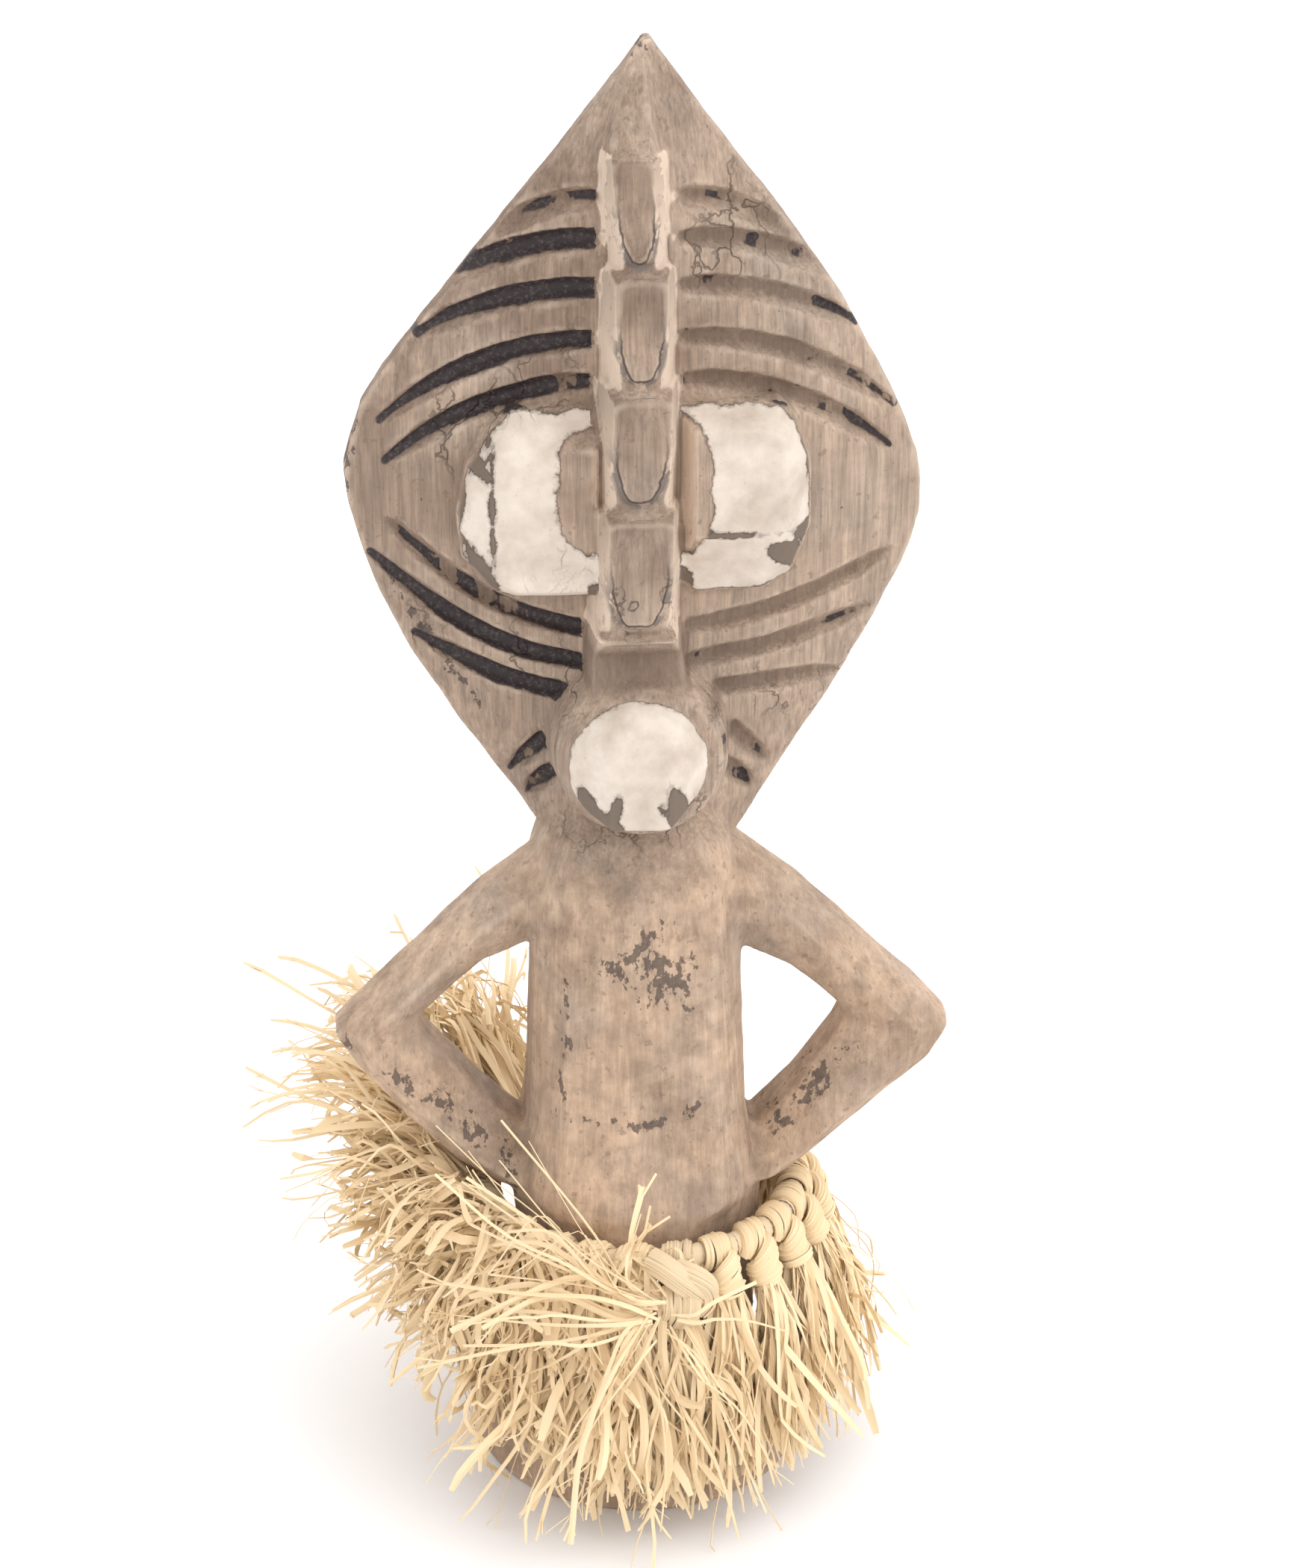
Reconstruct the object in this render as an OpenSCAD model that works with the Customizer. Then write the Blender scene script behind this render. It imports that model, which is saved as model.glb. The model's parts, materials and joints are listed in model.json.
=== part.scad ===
// Carved ancestor figure with a raffia skirt, in millimetres.
// +Z is up and the face looks towards -Y. The origin is at the middle of the base's underside.
// The figure, its base included, is one carved block. The skirt is a wrapped waist cord tied
// in front, with folded raffia tufts hitched onto it side by side.

/* [Head] */
// Height of the head board's point above the table
head_top = 380; // [376:1:386]
// Thickness of the head board along its edge
head_edge = 7; // [6:0.5:9]
// How far the face planes rise from the edge towards the nose ridge
face_rise = 11; // [9:0.5:13]
// How far the back of the board bulges
back_rise = 5; // [3:0.5:7]

/* [Nose ridge] */
// Width of the ridge where it leaves the face
ridge_root = 20; // [19:0.5:22]
// Depth of the step cut at the foot of each ridge segment
ridge_step = 4; // [2:0.5:5]

/* [Grooves] */
// Width of the gouged grooves at the surface
groove_w = 5.6; // [4:0.2:6.4]
// Depth of the gouged grooves
groove_d = 3.2; // [2:0.2:3.8]

/* [Eyes and mouth] */
// Distance of each eye boss from the middle of the face
eye_x = 27; // [26:0.5:28]
// Height of the eye bosses
eye_z = 273; // [271:0.5:275]
// How far the eye bosses stand out
eye_rise = 12; // [10:0.5:14]
// Height of the mouth boss
mouth_z = 209; // [208:0.5:211]
// Radius of the mouth boss
mouth_r = 17.4; // [16.8:0.2:18.4]

/* [Body] */
// Sideways reach of the figure's left elbow, on the +X side
elbow_reach_left = 80; // [77:0.5:81]
// Sideways reach of the figure's right elbow, on the -X side
elbow_reach_right = 78; // [76:0.5:80]
// Radius of the round base
base_r = 43; // [41:0.5:43.5]
// Thickness of the base
base_h = 17; // [15:0.5:19]

/* [Skirt] */
// Height of the waist cord's middle
waist_z = 75; // [74.6:0.1:75.2]
// Radius of the waist cord's loop, to the middle of the cord
waist_r = 41; // [40.8:0.1:41.4]
// Radius of the wrapped waist cord
cord_r = 3.2; // [2.8:0.1:3.4]
// Radius of the hitch that holds each tuft on the cord
hitch_r = 5; // [4.4:0.1:5]
// Radius of the knot that ties the cord in front
knot_r = 7; // [6:0.2:7.4]
// How far the tufts at the back right corner are lifted, from 0 to 1
skirt_lift = 1; // [0.6:0.05:1]

/* [Hidden] */
$fn = 48;
FIT = 0.05;                  // gap between the cord and the hitches round it
SLOT_DEG = 15;               // share of the waist that each tuft takes
TUFT_DEG = 14.2;             // what a tuft fills of its slot
TUFTS = 23;                  // the tie takes the place of a twenty-fourth tuft
TIE_DEG = -81;               // where on the loop the cord is tied
LIFT_DEG = 138;              // direction in which the skirt stands out most
FAN_HALF = 7;                // half the thickness of a tuft's fan at its free end
LOW = 179;                   // height at which the head board meets the shoulders
FINE = 96;                   // facets round the waist

WOOD = "tan";
RAFFIA = "burlywood";
CORD = "wheat";

function tuft_name(i) = str("tuft_", i < 10 ? "0" : "", i);

// ---------------------------------------------------------------- shared shapes

// A closed solid through rings that hold the same number of points each.
module loft(rings) {
    n = len(rings[0]);
    last = (len(rings) - 1) * n;
    sides = [for (r = [0 : len(rings) - 2]) for (i = [0 : n - 1]) for (half = [0, 1])
        let (a = r * n + i, b = r * n + (i + 1) % n)
        half == 0 ? [a, b + n, b] : [a, a + n, b + n]];
    foot = [[for (i = [0 : n - 1]) i]];
    top = [[for (i = [n - 1 : -1 : 0]) last + i]];
    polyhedron([for (ring = rings) for (p = ring) p], concat(foot, sides, top));
}

// The faceted form that an adze leaves: flat planes between the points given.
module hewn(points) {
    hull() polyhedron(points, [[for (i = [0 : len(points) - 1]) i]]);
}

// An outline in x and z, laid at a depth y, as a thin leaf for a hull.
module leaf(outline, y) {
    translate([0, y, 0]) rotate([90, 0, 0]) linear_extrude(0.2, center = true) polygon(outline);
}

function oval(x, z, rx, rz, n = 16) =
    [for (i = [0 : n - 1]) [x + rx * cos(i * 360 / n), z + rz * sin(i * 360 / n)]];

// ---------------------------------------------------------------- head board

// Reach of the board's edge at a height, on the +X side and on the -X side.
function edge_plus(z) = lookup(z, [[LOW - 4, 23], [201, 38.5], [226, 54], [252, 66.5], [265, 70], [279, 68],
    [297, 60], [319, 48], [340, 33], [359.5, 18], [head_top, 3.2]]);
function edge_minus(z) = lookup(z, [[LOW - 4, 20], [204, 40], [228, 55], [247, 64], [267, 70], [277.5, 71],
    [293, 66.5], [303, 60], [331, 37.5], [353.5, 19], [head_top, -1.8]]);

// How full the face's bulge is at a height, and the depth of the face there.
function fullness(z) = lookup(z, [[LOW - 4, 0.6], [205, 1], [330, 1], [365, 0.6], [head_top, 0.06]]);
function across(x, z) = min(1, abs(x) / max(1, x > 0 ? edge_plus(z) : edge_minus(z)));
function face_y(x, z) = -head_edge / 2 - face_rise * fullness(z) * (1 - pow(across(x, z), 1.6));
function back_y(x, z) = head_edge / 2 + back_rise * fullness(z) * (1 - pow(across(x, z), 2));

module head_board() {
    rows = 26;
    columns = 8;
    heights = [for (i = [0 : rows]) LOW - 4 + (head_top - LOW + 4) * i / rows];
    loft([for (z = heights)
        let (xs = [for (c = [-columns : columns])
            let (u = c / columns) u < 0 ? u * edge_minus(z) : u * edge_plus(z)])
        concat([for (x = xs) [x, face_y(x, z), z]],
               [for (k = [len(xs) - 1 : -1 : 0]) [xs[k], back_y(xs[k], z), z]])]);
}

// Nose ridge: segments that stand proud at the top and fall back to a step at the foot.
RIDGE_Z = [355.5, 329, 301.5, 272.5, 241];       // upper ends of the segments, and the ridge's foot
RIDGE_X = [-2.4, -0.8, -1, -1.6, -2.2];          // the hand-cut ridge wanders off the middle
RIDGE_OUT = [19, 26.5, 31, 33.6, 34.5];          // how far each upper end stands out
RIDGE_HALF = [4.8, 6.1, 7, 7.8, 8.7];            // half width of the ridge's front there
ROOT_MINUS = [9.4, 10.2, 11.6, 12.8, 14];        // reach of the ridge's root on the -X side
ROOT_PLUS = [8, 8.8, 9.6, 9.8, 10.2];            // and on the +X side

module ridge_segment(i) {
    z1 = RIDGE_Z[i];
    z0 = RIDGE_Z[i + 1];
    x1 = RIDGE_X[i];
    x0 = RIDGE_X[i + 1];
    out1 = RIDGE_OUT[i];
    out0 = RIDGE_OUT[i + 1] - ridge_step;
    wide = ridge_root / 20;
    foot_half = RIDGE_HALF[i + 1] - 2.6;
    hewn(concat([[x1, -out1 + 3, z1 + 2]], [for (s = [-1, 1]) each [
        [x1 + s * RIDGE_HALF[i], -out1 - 0.4, z1 - 1.2],
        [x1 + s * RIDGE_HALF[i] * 0.94, -out1 + 1, z0 + (z1 - z0) * 0.35],
        [x0 + s * foot_half, -out0, z0 + 2.6],
        [x0 + s * RIDGE_HALF[i + 1], -out0 + 5, z0 - 1.1],
        [s * wide * (s < 0 ? ROOT_MINUS : ROOT_PLUS)[i] + s * 0.3, -5 + 0.3 * i, z1 + 1.3],
        [s * wide * (s < 0 ? ROOT_MINUS : ROOT_PLUS)[i + 1] + s * 0.4, -5.2 + 0.3 * i, z0 - 0.9]]]));
}

module nose_ridge() {
    for (i = [0 : len(RIDGE_Z) - 2]) ridge_segment(i);
    // the plain tip of the ridge, running out into the board's point
    hewn([[1.9, -3.2, head_top - 0.6], [0.1, -3.2, head_top - 0.6], [0.9, -1, head_top - 0.6],
        [-4.8, -6.6, 371.5], [1.7, -9.4, 371.5], [-7.1, -15.4, 357], [2.5, -15.4, 357],
        [-10, -5.4, 354.6], [8.2, -5.4, 354.6], [-6.6, -14.4, 353.2], [2.1, -14.4, 353.2]]);
    // the nose's blunt foot and the upper lip below it
    hewn([[-11.4, -32, 241.6], [7, -32, 241.4], [-12.6, -26, 236.2], [8.3, -26, 236.4],
        [-14, -7.4, 244], [9.4, -7.2, 244.2]]);
    hewn([[-12.4, -24, 238.6], [8.4, -24, 238.4], [-13.4, -27.6, 226.4], [9.6, -27.4, 226.8],
        [-14.2, -6.2, 239], [10.6, -6.4, 239.4], [-15, -6.6, 221.6], [11.8, -6.8, 221.2]]);
}

// ---------------------------------------------------------------- grooves

BROW_Z = [345, 335.5, 324, 311.5, 301];          // brow grooves: height at the ridge
BROW_END = [[34, 335], [48.5, 322], [52.5, 311], [62, 290], [61, 280]];
CHEEK_Z = [238, 229, 220.5];                     // cheek grooves: height at the ridge
CHEEK_END_PLUS = [[62, 253], [57, 238], [50, 221]];
CHEEK_END_MINUS = [[61, 265], [65, 256], [55, 235]];
CHIN_GROOVES = [[[19, 213], [32, 198]], [[21, 200], [28, 191]]];

// Height of a groove that leaves the ridge level and bends towards its end.
function bent(x, x0, z0, end) = z0 + (end[1] - z0) * pow((x - x0) / (end[0] - x0), 2.1);

// A gouged channel along points given in x and z, sunk into the face.
module groove(path) {
    last = len(path) - 1;
    loft([for (k = [0 : last])
        let (a = path[max(0, k - 1)], b = path[min(last, k + 1)],
             run = (b - a) / norm(b - a),
             side = [-run[1], run[0]],
             p = path[k],
             y = face_y(p[0], p[1]),
             taper = k == 0 || k == last ? 0.45 : 1)
        [for (q = [[-0.62, -3], [-0.5, 0], [-0.24, 1], [0.24, 1], [0.5, 0], [0.62, -3]])
            let (d = q[0] * groove_w * taper, deep = q[1] > 0 ? groove_d * taper : q[1])
            [p[0] + side[0] * d, y + deep, p[1] + side[1] * d]]]);
}

module bent_groove(s, x0, z0, end) {
    steps = 6;
    path = [for (k = [0 : steps]) let (x = x0 + (end[0] - x0) * k / steps) [s * x, bent(x, x0, z0, end)]];
    groove(s > 0 ? path : [for (k = [steps : -1 : 0]) path[k]]);
}

module grooves() {
    for (s = [-1, 1]) {
        for (i = [0 : 4]) bent_groove(s, 7.5, BROW_Z[i], BROW_END[i]);
        for (i = [0 : 2]) bent_groove(s, 10, CHEEK_Z[i], (s > 0 ? CHEEK_END_PLUS : CHEEK_END_MINUS)[i]);
        for (g = CHIN_GROOVES)
            let (path = [for (k = [0 : 4]) let (p = g[0] + (g[1] - g[0]) * k / 4) [s * p[0], p[1]]])
            groove(s > 0 ? path : [for (k = [4 : -1 : 0]) path[k]]);
    }
}

// ---------------------------------------------------------------- eyes and mouth

module eye_socket(s) {
    translate([s * eye_x, face_y(eye_x, eye_z) - 3, eye_z]) scale([21, 6, 29]) sphere(1, $fn = 28);
}

// Outlines of each eye where it leaves the face, and of its front plane, on the +X and the -X side.
RIM_PLUS = [[8, 296], [33, 295.6], [37, 291.4], [40.6, 281], [41, 264], [36, 251.6], [29, 247.4],
    [13, 247.4], [8, 251]];
RIM_MINUS = [[8, 295.4], [31, 295.4], [36.4, 290.8], [42, 282], [44.8, 270], [43.6, 258.4], [36.6, 250],
    [31, 247.8], [14, 247.6], [8, 251]];
EYE_PLUS = [[12, 291], [29, 291], [33.6, 287], [34.4, 268], [31.6, 264.6], [12, 264.6]];
EYE_MINUS = [[12, 287], [34, 287], [36.4, 283.4], [36, 264], [34.4, 254.6], [30.4, 251.6], [12, 251.6]];

module eye_boss(s) {
    y = face_y(eye_x, eye_z);
    front = y - eye_rise;
    rim = s < 0 ? RIM_MINUS : RIM_PLUS;
    translate([s * (eye_x - 27), 0, eye_z - 273]) mirror([s < 0 ? 1 : 0, 0, 0]) hull() {
        leaf(rim, y + 3);
        leaf(rim, y - 3);
        leaf(s < 0 ? EYE_MINUS : EYE_PLUS, front);
    }
}

LIPS_X = -0.8;                                   // middle of the lips' rim
MOUTH_X = -2.4;                                  // middle of the mouth boss, cut a little aside

// A round block that narrows forwards from a depth y.
module lip_block(y, depth, r1, r2) {
    translate([LIPS_X, y, mouth_z]) rotate([90, 0, 0]) cylinder(h = depth, r1 = r1, r2 = r2, $fn = 36);
}

module mouth() {
    // muzzle and the rim of the lips
    lip_block(-6, 20, 23.5, mouth_r + 3.6);
    lip_block(-26, 4, mouth_r + 3.6, mouth_r + 1.4);
    // faceted boss
    translate([MOUTH_X, 0, 0]) hull() {
        leaf(oval(0, mouth_z, mouth_r, mouth_r, 20), -28);
        leaf(oval(0, mouth_z, mouth_r - 0.6, mouth_r - 0.6, 20), -32);
        leaf([[-7.5, 219], [7.5, 219], [8, 213], [7, 196], [-7, 196], [-8, 213]], -41);
    }
}

// ---------------------------------------------------------------- body

// Torso sections: height, then half widths and depths of the facets.
TORSO = [[64, 9, -29, 21, -22, 29, -11, 28, 9, 20, 22, 9, 26],
         [70, 10, -33.6, 24.5, -24.5, 32.5, -12, 32, 9, 24, 23, 10, 31],
         [79, 11, -33.6, 25, -24.5, 33, -12, 33, 9, 24, 23, 10, 31],
         [84, 17, -34.5, 26.5, -26, 33, -14, 33, 10, 24, 22, 12, 29],
         [93, 20, -33, 26.5, -24, 30.5, -14, 30.5, 10, 23, 20, 14, 25],
         [106, 20, -31, 25.5, -22, 28.5, -13, 28.5, 10, 22, 17, 14, 20],
         [130, 19.5, -28.5, 24.5, -20, 27.5, -13, 27.5, 9, 21, 15, 14, 18],
         [158, 19, -26, 24, -18, 27, -12, 27, 9, 21, 14, 13, 17],
         [171, 18, -22.5, 23, -16, 26.5, -11, 27, 9, 21, 13, 13, 16],
         [181, 15, -17, 20, -13, 24, -9, 24, 8, 19, 11, 12, 13],
         [188, 12, -11, 16, -9, 20, -6, 20, 5, 16, 8, 10, 9]];

TORSO_X = -1;                                    // the torso's middle, a little to the figure's right
TORSO_NARROW = 0.975;

module torso() {
    loft([for (s = TORSO) [for (side = [-1, 1]) for (k = [0 : 5])
        let (j = side < 0 ? 5 - k : k)
        [TORSO_X + side * TORSO_NARROW * s[1 + 2 * j], s[2 + 2 * j], s[0]]]]);
}

// A limb's section: share of the way from its inner to its outer edge, and share of its half depth.
LIMB = [[0, -0.5], [0.35, -0.86], [0.66, -1], [1, -0.42], [1.02, 0.5], [0.76, 0.9], [0.22, 0.94], [0, 0.42]];

// The arms, by stations from inside the shoulder, round the elbow, to the hand on the hip:
// inner edge in x and z, outer edge in x and z, half depth, and its share of a longer reach.
ARM_PLUS = [[14, 150, 14, 178, 8, 0], [24.5, 148.2, 24.5, 176.6, 10.5, 0], [38.5, 142, 40, 163.6, 12.5, 0.2],
    [50.8, 131, 71.5, 131.5, 13.5, 0.9], [52.6, 126.8, 79, 123, 12.5, 1], [50.6, 122.6, 74.4, 114, 13, 0.9],
    [39.5, 106.5, 61, 102.5, 14, 0.5], [28.4, 94.5, 47.4, 90, 14.5, 0], [21, 89, 38.6, 82.5, 15.5, 0],
    [14, 87, 30.6, 80.2, 15, 0]];
ARM_MINUS = [[14, 155, 14, 178, 8, 0], [24.5, 153, 24.5, 176.4, 10.5, 0], [40, 147, 40, 164.4, 12.5, 0.2],
    [55, 133.6, 69, 135.6, 13.5, 0.9], [56.8, 129.6, 78, 127, 12.5, 1], [54.6, 125.6, 73.4, 119, 13, 0.9],
    [42, 110.5, 60.6, 103, 14, 0.5], [28.4, 97, 47.4, 89.6, 14.5, 0], [21, 91.6, 38.6, 83, 15.5, 0],
    [14, 88, 30.6, 80.2, 15, 0]];

module arm(s, longer) {
    stations = s < 0 ? ARM_MINUS : [for (k = [len(ARM_PLUS) - 1 : -1 : 0]) ARM_PLUS[k]];
    loft([for (st = stations)
        [for (q = LIMB) [s * (st[0] + (st[2] + longer * st[5] - st[0]) * q[0]), -3.5 + st[4] * q[1],
            st[1] + (st[3] - st[1]) * q[0]]]]);
}

// One leg, by stations from the ankle up: height, inner and outer x, front and back y.
LEG = [[12, 6.4, 26, -21, 15], [19.4, 6, 27.4, -24, 16.5], [23, 7.6, 26.4, -20, 15.4],
    [33, 7.2, 27.6, -17.6, 12.6], [44, 5.4, 29.4, -25, 9.4], [56, 4.4, 28.4, -26, 14],
    [69, 3.8, 29, -24.6, 21]];

module leg(s) {
    loft([for (st = LEG)
        let (mid = (st[3] + st[4]) / 2, half = (st[4] - st[3]) / 2,
             x = (st[1] + st[2]) / 2, w = (st[2] - st[1]) / 2)
        [for (k = [0 : 7]) [s * x + 1.08 * w * cos(22.5 + 45 * k), mid + 1.08 * half * sin(22.5 + 45 * k),
            st[0]]]]);
}

module base() {
    rotate_extrude($fn = 72) polygon([[0, 0], [base_r - 1, 0], [base_r, 1.5], [base_r, base_h - 2.5],
        [base_r - 2.5, base_h], [0, base_h]]);
}

module carved_figure() {
    color(WOOD) union() {
        difference() {
            head_board();
            grooves();
            for (s = [-1, 1]) eye_socket(s);
        }
        for (s = [-1, 1]) eye_boss(s);
        nose_ridge();
        mouth();
        torso();
        arm(1, elbow_reach_left - ARM_PLUS[4][2]);
        arm(-1, elbow_reach_right - ARM_MINUS[4][2]);
        for (s = [-1, 1]) leg(s);
        base();
    }
}

// ---------------------------------------------------------------- skirt

// A ring of round section about the waist cord's middle, and a part of such a ring.
module waist_ring(r, deg = 360) {
    translate([0, 0, waist_z]) rotate_extrude(angle = deg, $fn = FINE)
        translate([waist_r, 0]) circle(r, $fn = 32);
}

module waist_cord() {
    color(CORD) waist_ring(cord_r);
}

// Middle of tuft i on the loop, counted anticlockwise from the tie.
function tuft_deg(i) = TIE_DEG + SLOT_DEG * i;

// From 0, hanging, to 1, standing straight out; and how far a tuft on the figure's left sways out.
function lift(deg) = skirt_lift * pow(max(0, cos(deg - LIFT_DEG)), 2.5);
function sway(deg) = max(0, cos(deg - 10));

// Free end of a tuft: distance from the middle, and height.
function end_r(deg) = 62 + 40 * lift(deg) + 9 * sway(deg);
function end_z(deg) = 12 + 84 * lift(deg) + 16 * sway(deg);

// Side outline of a tuft's fan, as distance and height: a band of growing thickness along a line
// that leaves the hitch, bends over and ends at the free end.
function aside(p, q, t) = let (d = (q - p) / norm(q - p)) [-d[1], d[0]] * t;
function fan(deg, start) =
    let (up = lift(deg),
         tip = [end_r(deg), end_z(deg)],
         bend = (start + tip) / 2 + [2, 5 + 3 * up],
         n0 = aside(start, bend, 3.4), n1 = aside(start, tip, 4.8), n2 = aside(bend, tip, FAN_HALF),
         blunt = (tip - bend) / norm(tip - bend) * 3)
    [start + n0, bend + n1, tip + n2 - blunt, tip + n2 * 0.5,
        tip - n2 * 0.5, tip - n2 - blunt, bend - n1, start - n0];

// One tuft: a bundle folded over the cord and drawn through itself as a hitch, with its ends
// fanning outwards and down.
module tuft(i) {
    deg = tuft_deg(i);
    neck = [waist_r + 5.4, waist_z - 4 + 4 * lift(deg)];
    color(RAFFIA) rotate([0, 0, deg - TUFT_DEG / 2]) difference() {
        union() {
            waist_ring(hitch_r, TUFT_DEG);
            rotate_extrude(angle = TUFT_DEG, $fn = FINE) translate(neck) circle(4.2, $fn = 32);
            rotate_extrude(angle = TUFT_DEG, $fn = FINE) polygon(fan(deg, neck));
        }
        waist_ring(cord_r + FIT);
    }
}

// The cord's two ends knotted together in front of the loop.
module tie_knot() {
    color(CORD) difference() {
        rotate([0, 0, TIE_DEG - TUFT_DEG / 2]) union() {
            waist_ring(hitch_r, TUFT_DEG);
            rotate([0, 0, TUFT_DEG / 2]) translate([waist_r + 8.4, 0, waist_z - 4]) sphere(knot_r);
        }
        waist_ring(cord_r + FIT);
    }
}

// A run of fibres through a few points, each given with its radius.
module strand_run(points) {
    for (k = [0 : len(points) - 2]) hull() for (p = [points[k], points[k + 1]])
        translate([p[0], p[1], p[2]]) sphere(p[3], $fn = 12);
}

// The loose ends beyond the knot: one spray swept up past the figure's right hip with a short
// one beside it, one lying over the tufts below, and one hanging straight down.
module tie_end_upper() {
    color(RAFFIA) {
        strand_run([[0.5, -54.5, 77.6, 2.4], [-22, -53, 95, 5], [-38, -48, 110, 3]]);
        strand_run([[0.5, -54.5, 77.6, 2.4], [-3, -53, 97, 2.6]]);
    }
}

module tie_end_lower() {
    color(RAFFIA) strand_run([[-1, -59.4, 70, 2.4], [-18, -60, 66, 4], [-34, -53.6, 59, 4.6],
        [-48, -43, 49, 3]]);
}

module tie_fall() {
    color(RAFFIA) rotate([0, 0, TIE_DEG - TUFT_DEG / 2]) rotate_extrude(angle = TUFT_DEG, $fn = FINE)
        polygon(fan(TIE_DEG, [waist_r + 7, waist_z - knot_r - 8]));
}

carved_figure();
waist_cord();
tie_knot();
tie_end_upper();
tie_end_lower();
tie_fall();
for (i = [1 : TUFTS]) tuft(i);
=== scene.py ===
"""A carved standing figure with a raffia skirt: the looks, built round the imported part."""
import json
import math

import bpy
import numpy as np
from bpy.props import FloatProperty, FloatVectorProperty, IntProperty, PointerProperty
from mathutils import Euler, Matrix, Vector

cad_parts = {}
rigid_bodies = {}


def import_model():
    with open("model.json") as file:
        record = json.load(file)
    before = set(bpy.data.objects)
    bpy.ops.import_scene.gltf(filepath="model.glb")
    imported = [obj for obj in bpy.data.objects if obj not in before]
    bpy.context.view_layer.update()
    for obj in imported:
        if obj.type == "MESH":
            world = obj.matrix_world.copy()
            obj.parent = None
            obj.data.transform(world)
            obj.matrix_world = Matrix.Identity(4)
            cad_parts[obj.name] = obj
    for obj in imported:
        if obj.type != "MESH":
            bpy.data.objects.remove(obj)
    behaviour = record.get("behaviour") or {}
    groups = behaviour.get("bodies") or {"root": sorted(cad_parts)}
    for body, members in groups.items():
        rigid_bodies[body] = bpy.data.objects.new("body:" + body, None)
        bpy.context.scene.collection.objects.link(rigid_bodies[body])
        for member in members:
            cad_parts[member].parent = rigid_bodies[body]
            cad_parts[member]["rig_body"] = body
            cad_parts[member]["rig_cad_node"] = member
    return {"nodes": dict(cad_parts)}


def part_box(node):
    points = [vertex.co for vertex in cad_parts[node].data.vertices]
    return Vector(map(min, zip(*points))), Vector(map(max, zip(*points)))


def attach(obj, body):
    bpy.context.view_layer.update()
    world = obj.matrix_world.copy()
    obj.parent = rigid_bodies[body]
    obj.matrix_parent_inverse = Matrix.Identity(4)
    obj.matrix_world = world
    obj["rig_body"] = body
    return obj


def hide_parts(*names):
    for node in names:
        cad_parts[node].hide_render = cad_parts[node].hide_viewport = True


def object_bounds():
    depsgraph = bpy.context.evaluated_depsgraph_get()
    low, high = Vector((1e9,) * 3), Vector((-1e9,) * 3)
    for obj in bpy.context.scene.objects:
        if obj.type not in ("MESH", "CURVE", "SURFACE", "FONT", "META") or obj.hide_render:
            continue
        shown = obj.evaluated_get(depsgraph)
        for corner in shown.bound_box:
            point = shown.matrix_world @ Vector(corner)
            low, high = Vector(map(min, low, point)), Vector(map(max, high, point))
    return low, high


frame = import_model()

bl_info = {
    "name": "Carved Figure with Raffia Skirt",
    "version": (1, 0, 0),
    "blender": (4, 5, 0),
    "location": "View3D > Sidebar > Carved Figure",
    "description": "Builds the hewn and painted wood, the hitched raffia skirt and the studio",
    "category": "Add Mesh",
}

MM = 0.001
CAD_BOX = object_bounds()
TUFTS = sorted(name for name in frame["nodes"] if name.startswith("tuft_"))

# ---------------------------------------------------------------- the design's own sizes, in mm

NECK = 179.0                                    # where the head board meets the shoulders
HEAD_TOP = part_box("carved_figure")[1].z / MM
BROW_AT_RIDGE = (345, 335.5, 324, 311.5, 301)   # heights of the brow grooves beside the ridge
BROW_ENDS = ((34, 335), (48.5, 322), (52.5, 311), (62, 290), (61, 280))
CHEEK_AT_RIDGE = (238, 229, 220.5)
CHEEK_ENDS = {1: ((62, 253), (57, 238), (50, 221)), -1: ((61, 265), (65, 256), (55, 235))}
CHIN_GROOVES = (((19, 213), (32, 198)), ((21, 200), (28, 191)))
GROOVE_HALF = 2.8
RIDGE_ROOTS = {-1: (9.6, 10.4, 11.8, 13, 14.4), 1: (8.2, 9, 9.8, 10, 10.6)}  # half widths of the ridge's foot there
RIDGE_SIDES = {1: -9.8, -1: 12.9}               # where the ridge's sides meet the face beside the eyes
RIDGE_LEDGES = (355.5, 329, 301.5, 272.5, 241)  # tops of the ridge's segments, and its foot
RIDGE_X = (-2.4, -0.8, -1, -1.6, -2.2)          # the ridge's middle there
EYE_RIMS = {                                    # outlines of the eyes where they leave the face
    1: ((8, 296), (33, 295.6), (37, 291.4), (40.6, 281), (41, 264), (36, 251.6), (29, 247.4), (13, 247.4), (8, 251)),
    -1: ((8, 295.4), (31, 295.4), (36.4, 290.8), (42, 282), (44.8, 270), (43.6, 258.4), (36.6, 250), (31, 247.8),
         (14, 247.6), (8, 251))}
PUPILS = {1: (8.6, 277, 7.6, 16.5), -1: (-10.6, 277, 10.4, 15.5)}  # flat side's x, height, half sizes
MOUTH = (-2.4, 209, 17.4)                       # middle and radius of the mouth boss

CORD_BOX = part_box("waist_cord")
WAIST_Z = (CORD_BOX[0].z + CORD_BOX[1].z) / 2 / MM
CORD_R = (CORD_BOX[1].z - CORD_BOX[0].z) / 2 / MM
WAIST_R = CORD_BOX[1].x / MM - CORD_R
TIE_DEG = -81.0
SLOT_DEG = 15.0
LIFT_DEG = 138.0
RISE_DEG = 212.0                                # side on which the tufts are pushed up and ruffled
SKIRT_ROOM = [[v / MM - 9 for v in CAD_BOX[0]], [v / MM + 9 for v in CAD_BOX[1]]]


def lerp(a, b, t):
    return a + (b - a) * t


def smooth(t):
    t = np.clip(t, 0, 1)
    return t * t * (3 - 2 * t)


# ---------------------------------------------------------------- objects

def select_only(*objects):
    for o in bpy.context.selected_objects:
        o.select_set(False)
    for o in objects:
        o.select_set(True)
    bpy.context.view_layer.objects.active = objects[0]


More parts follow.
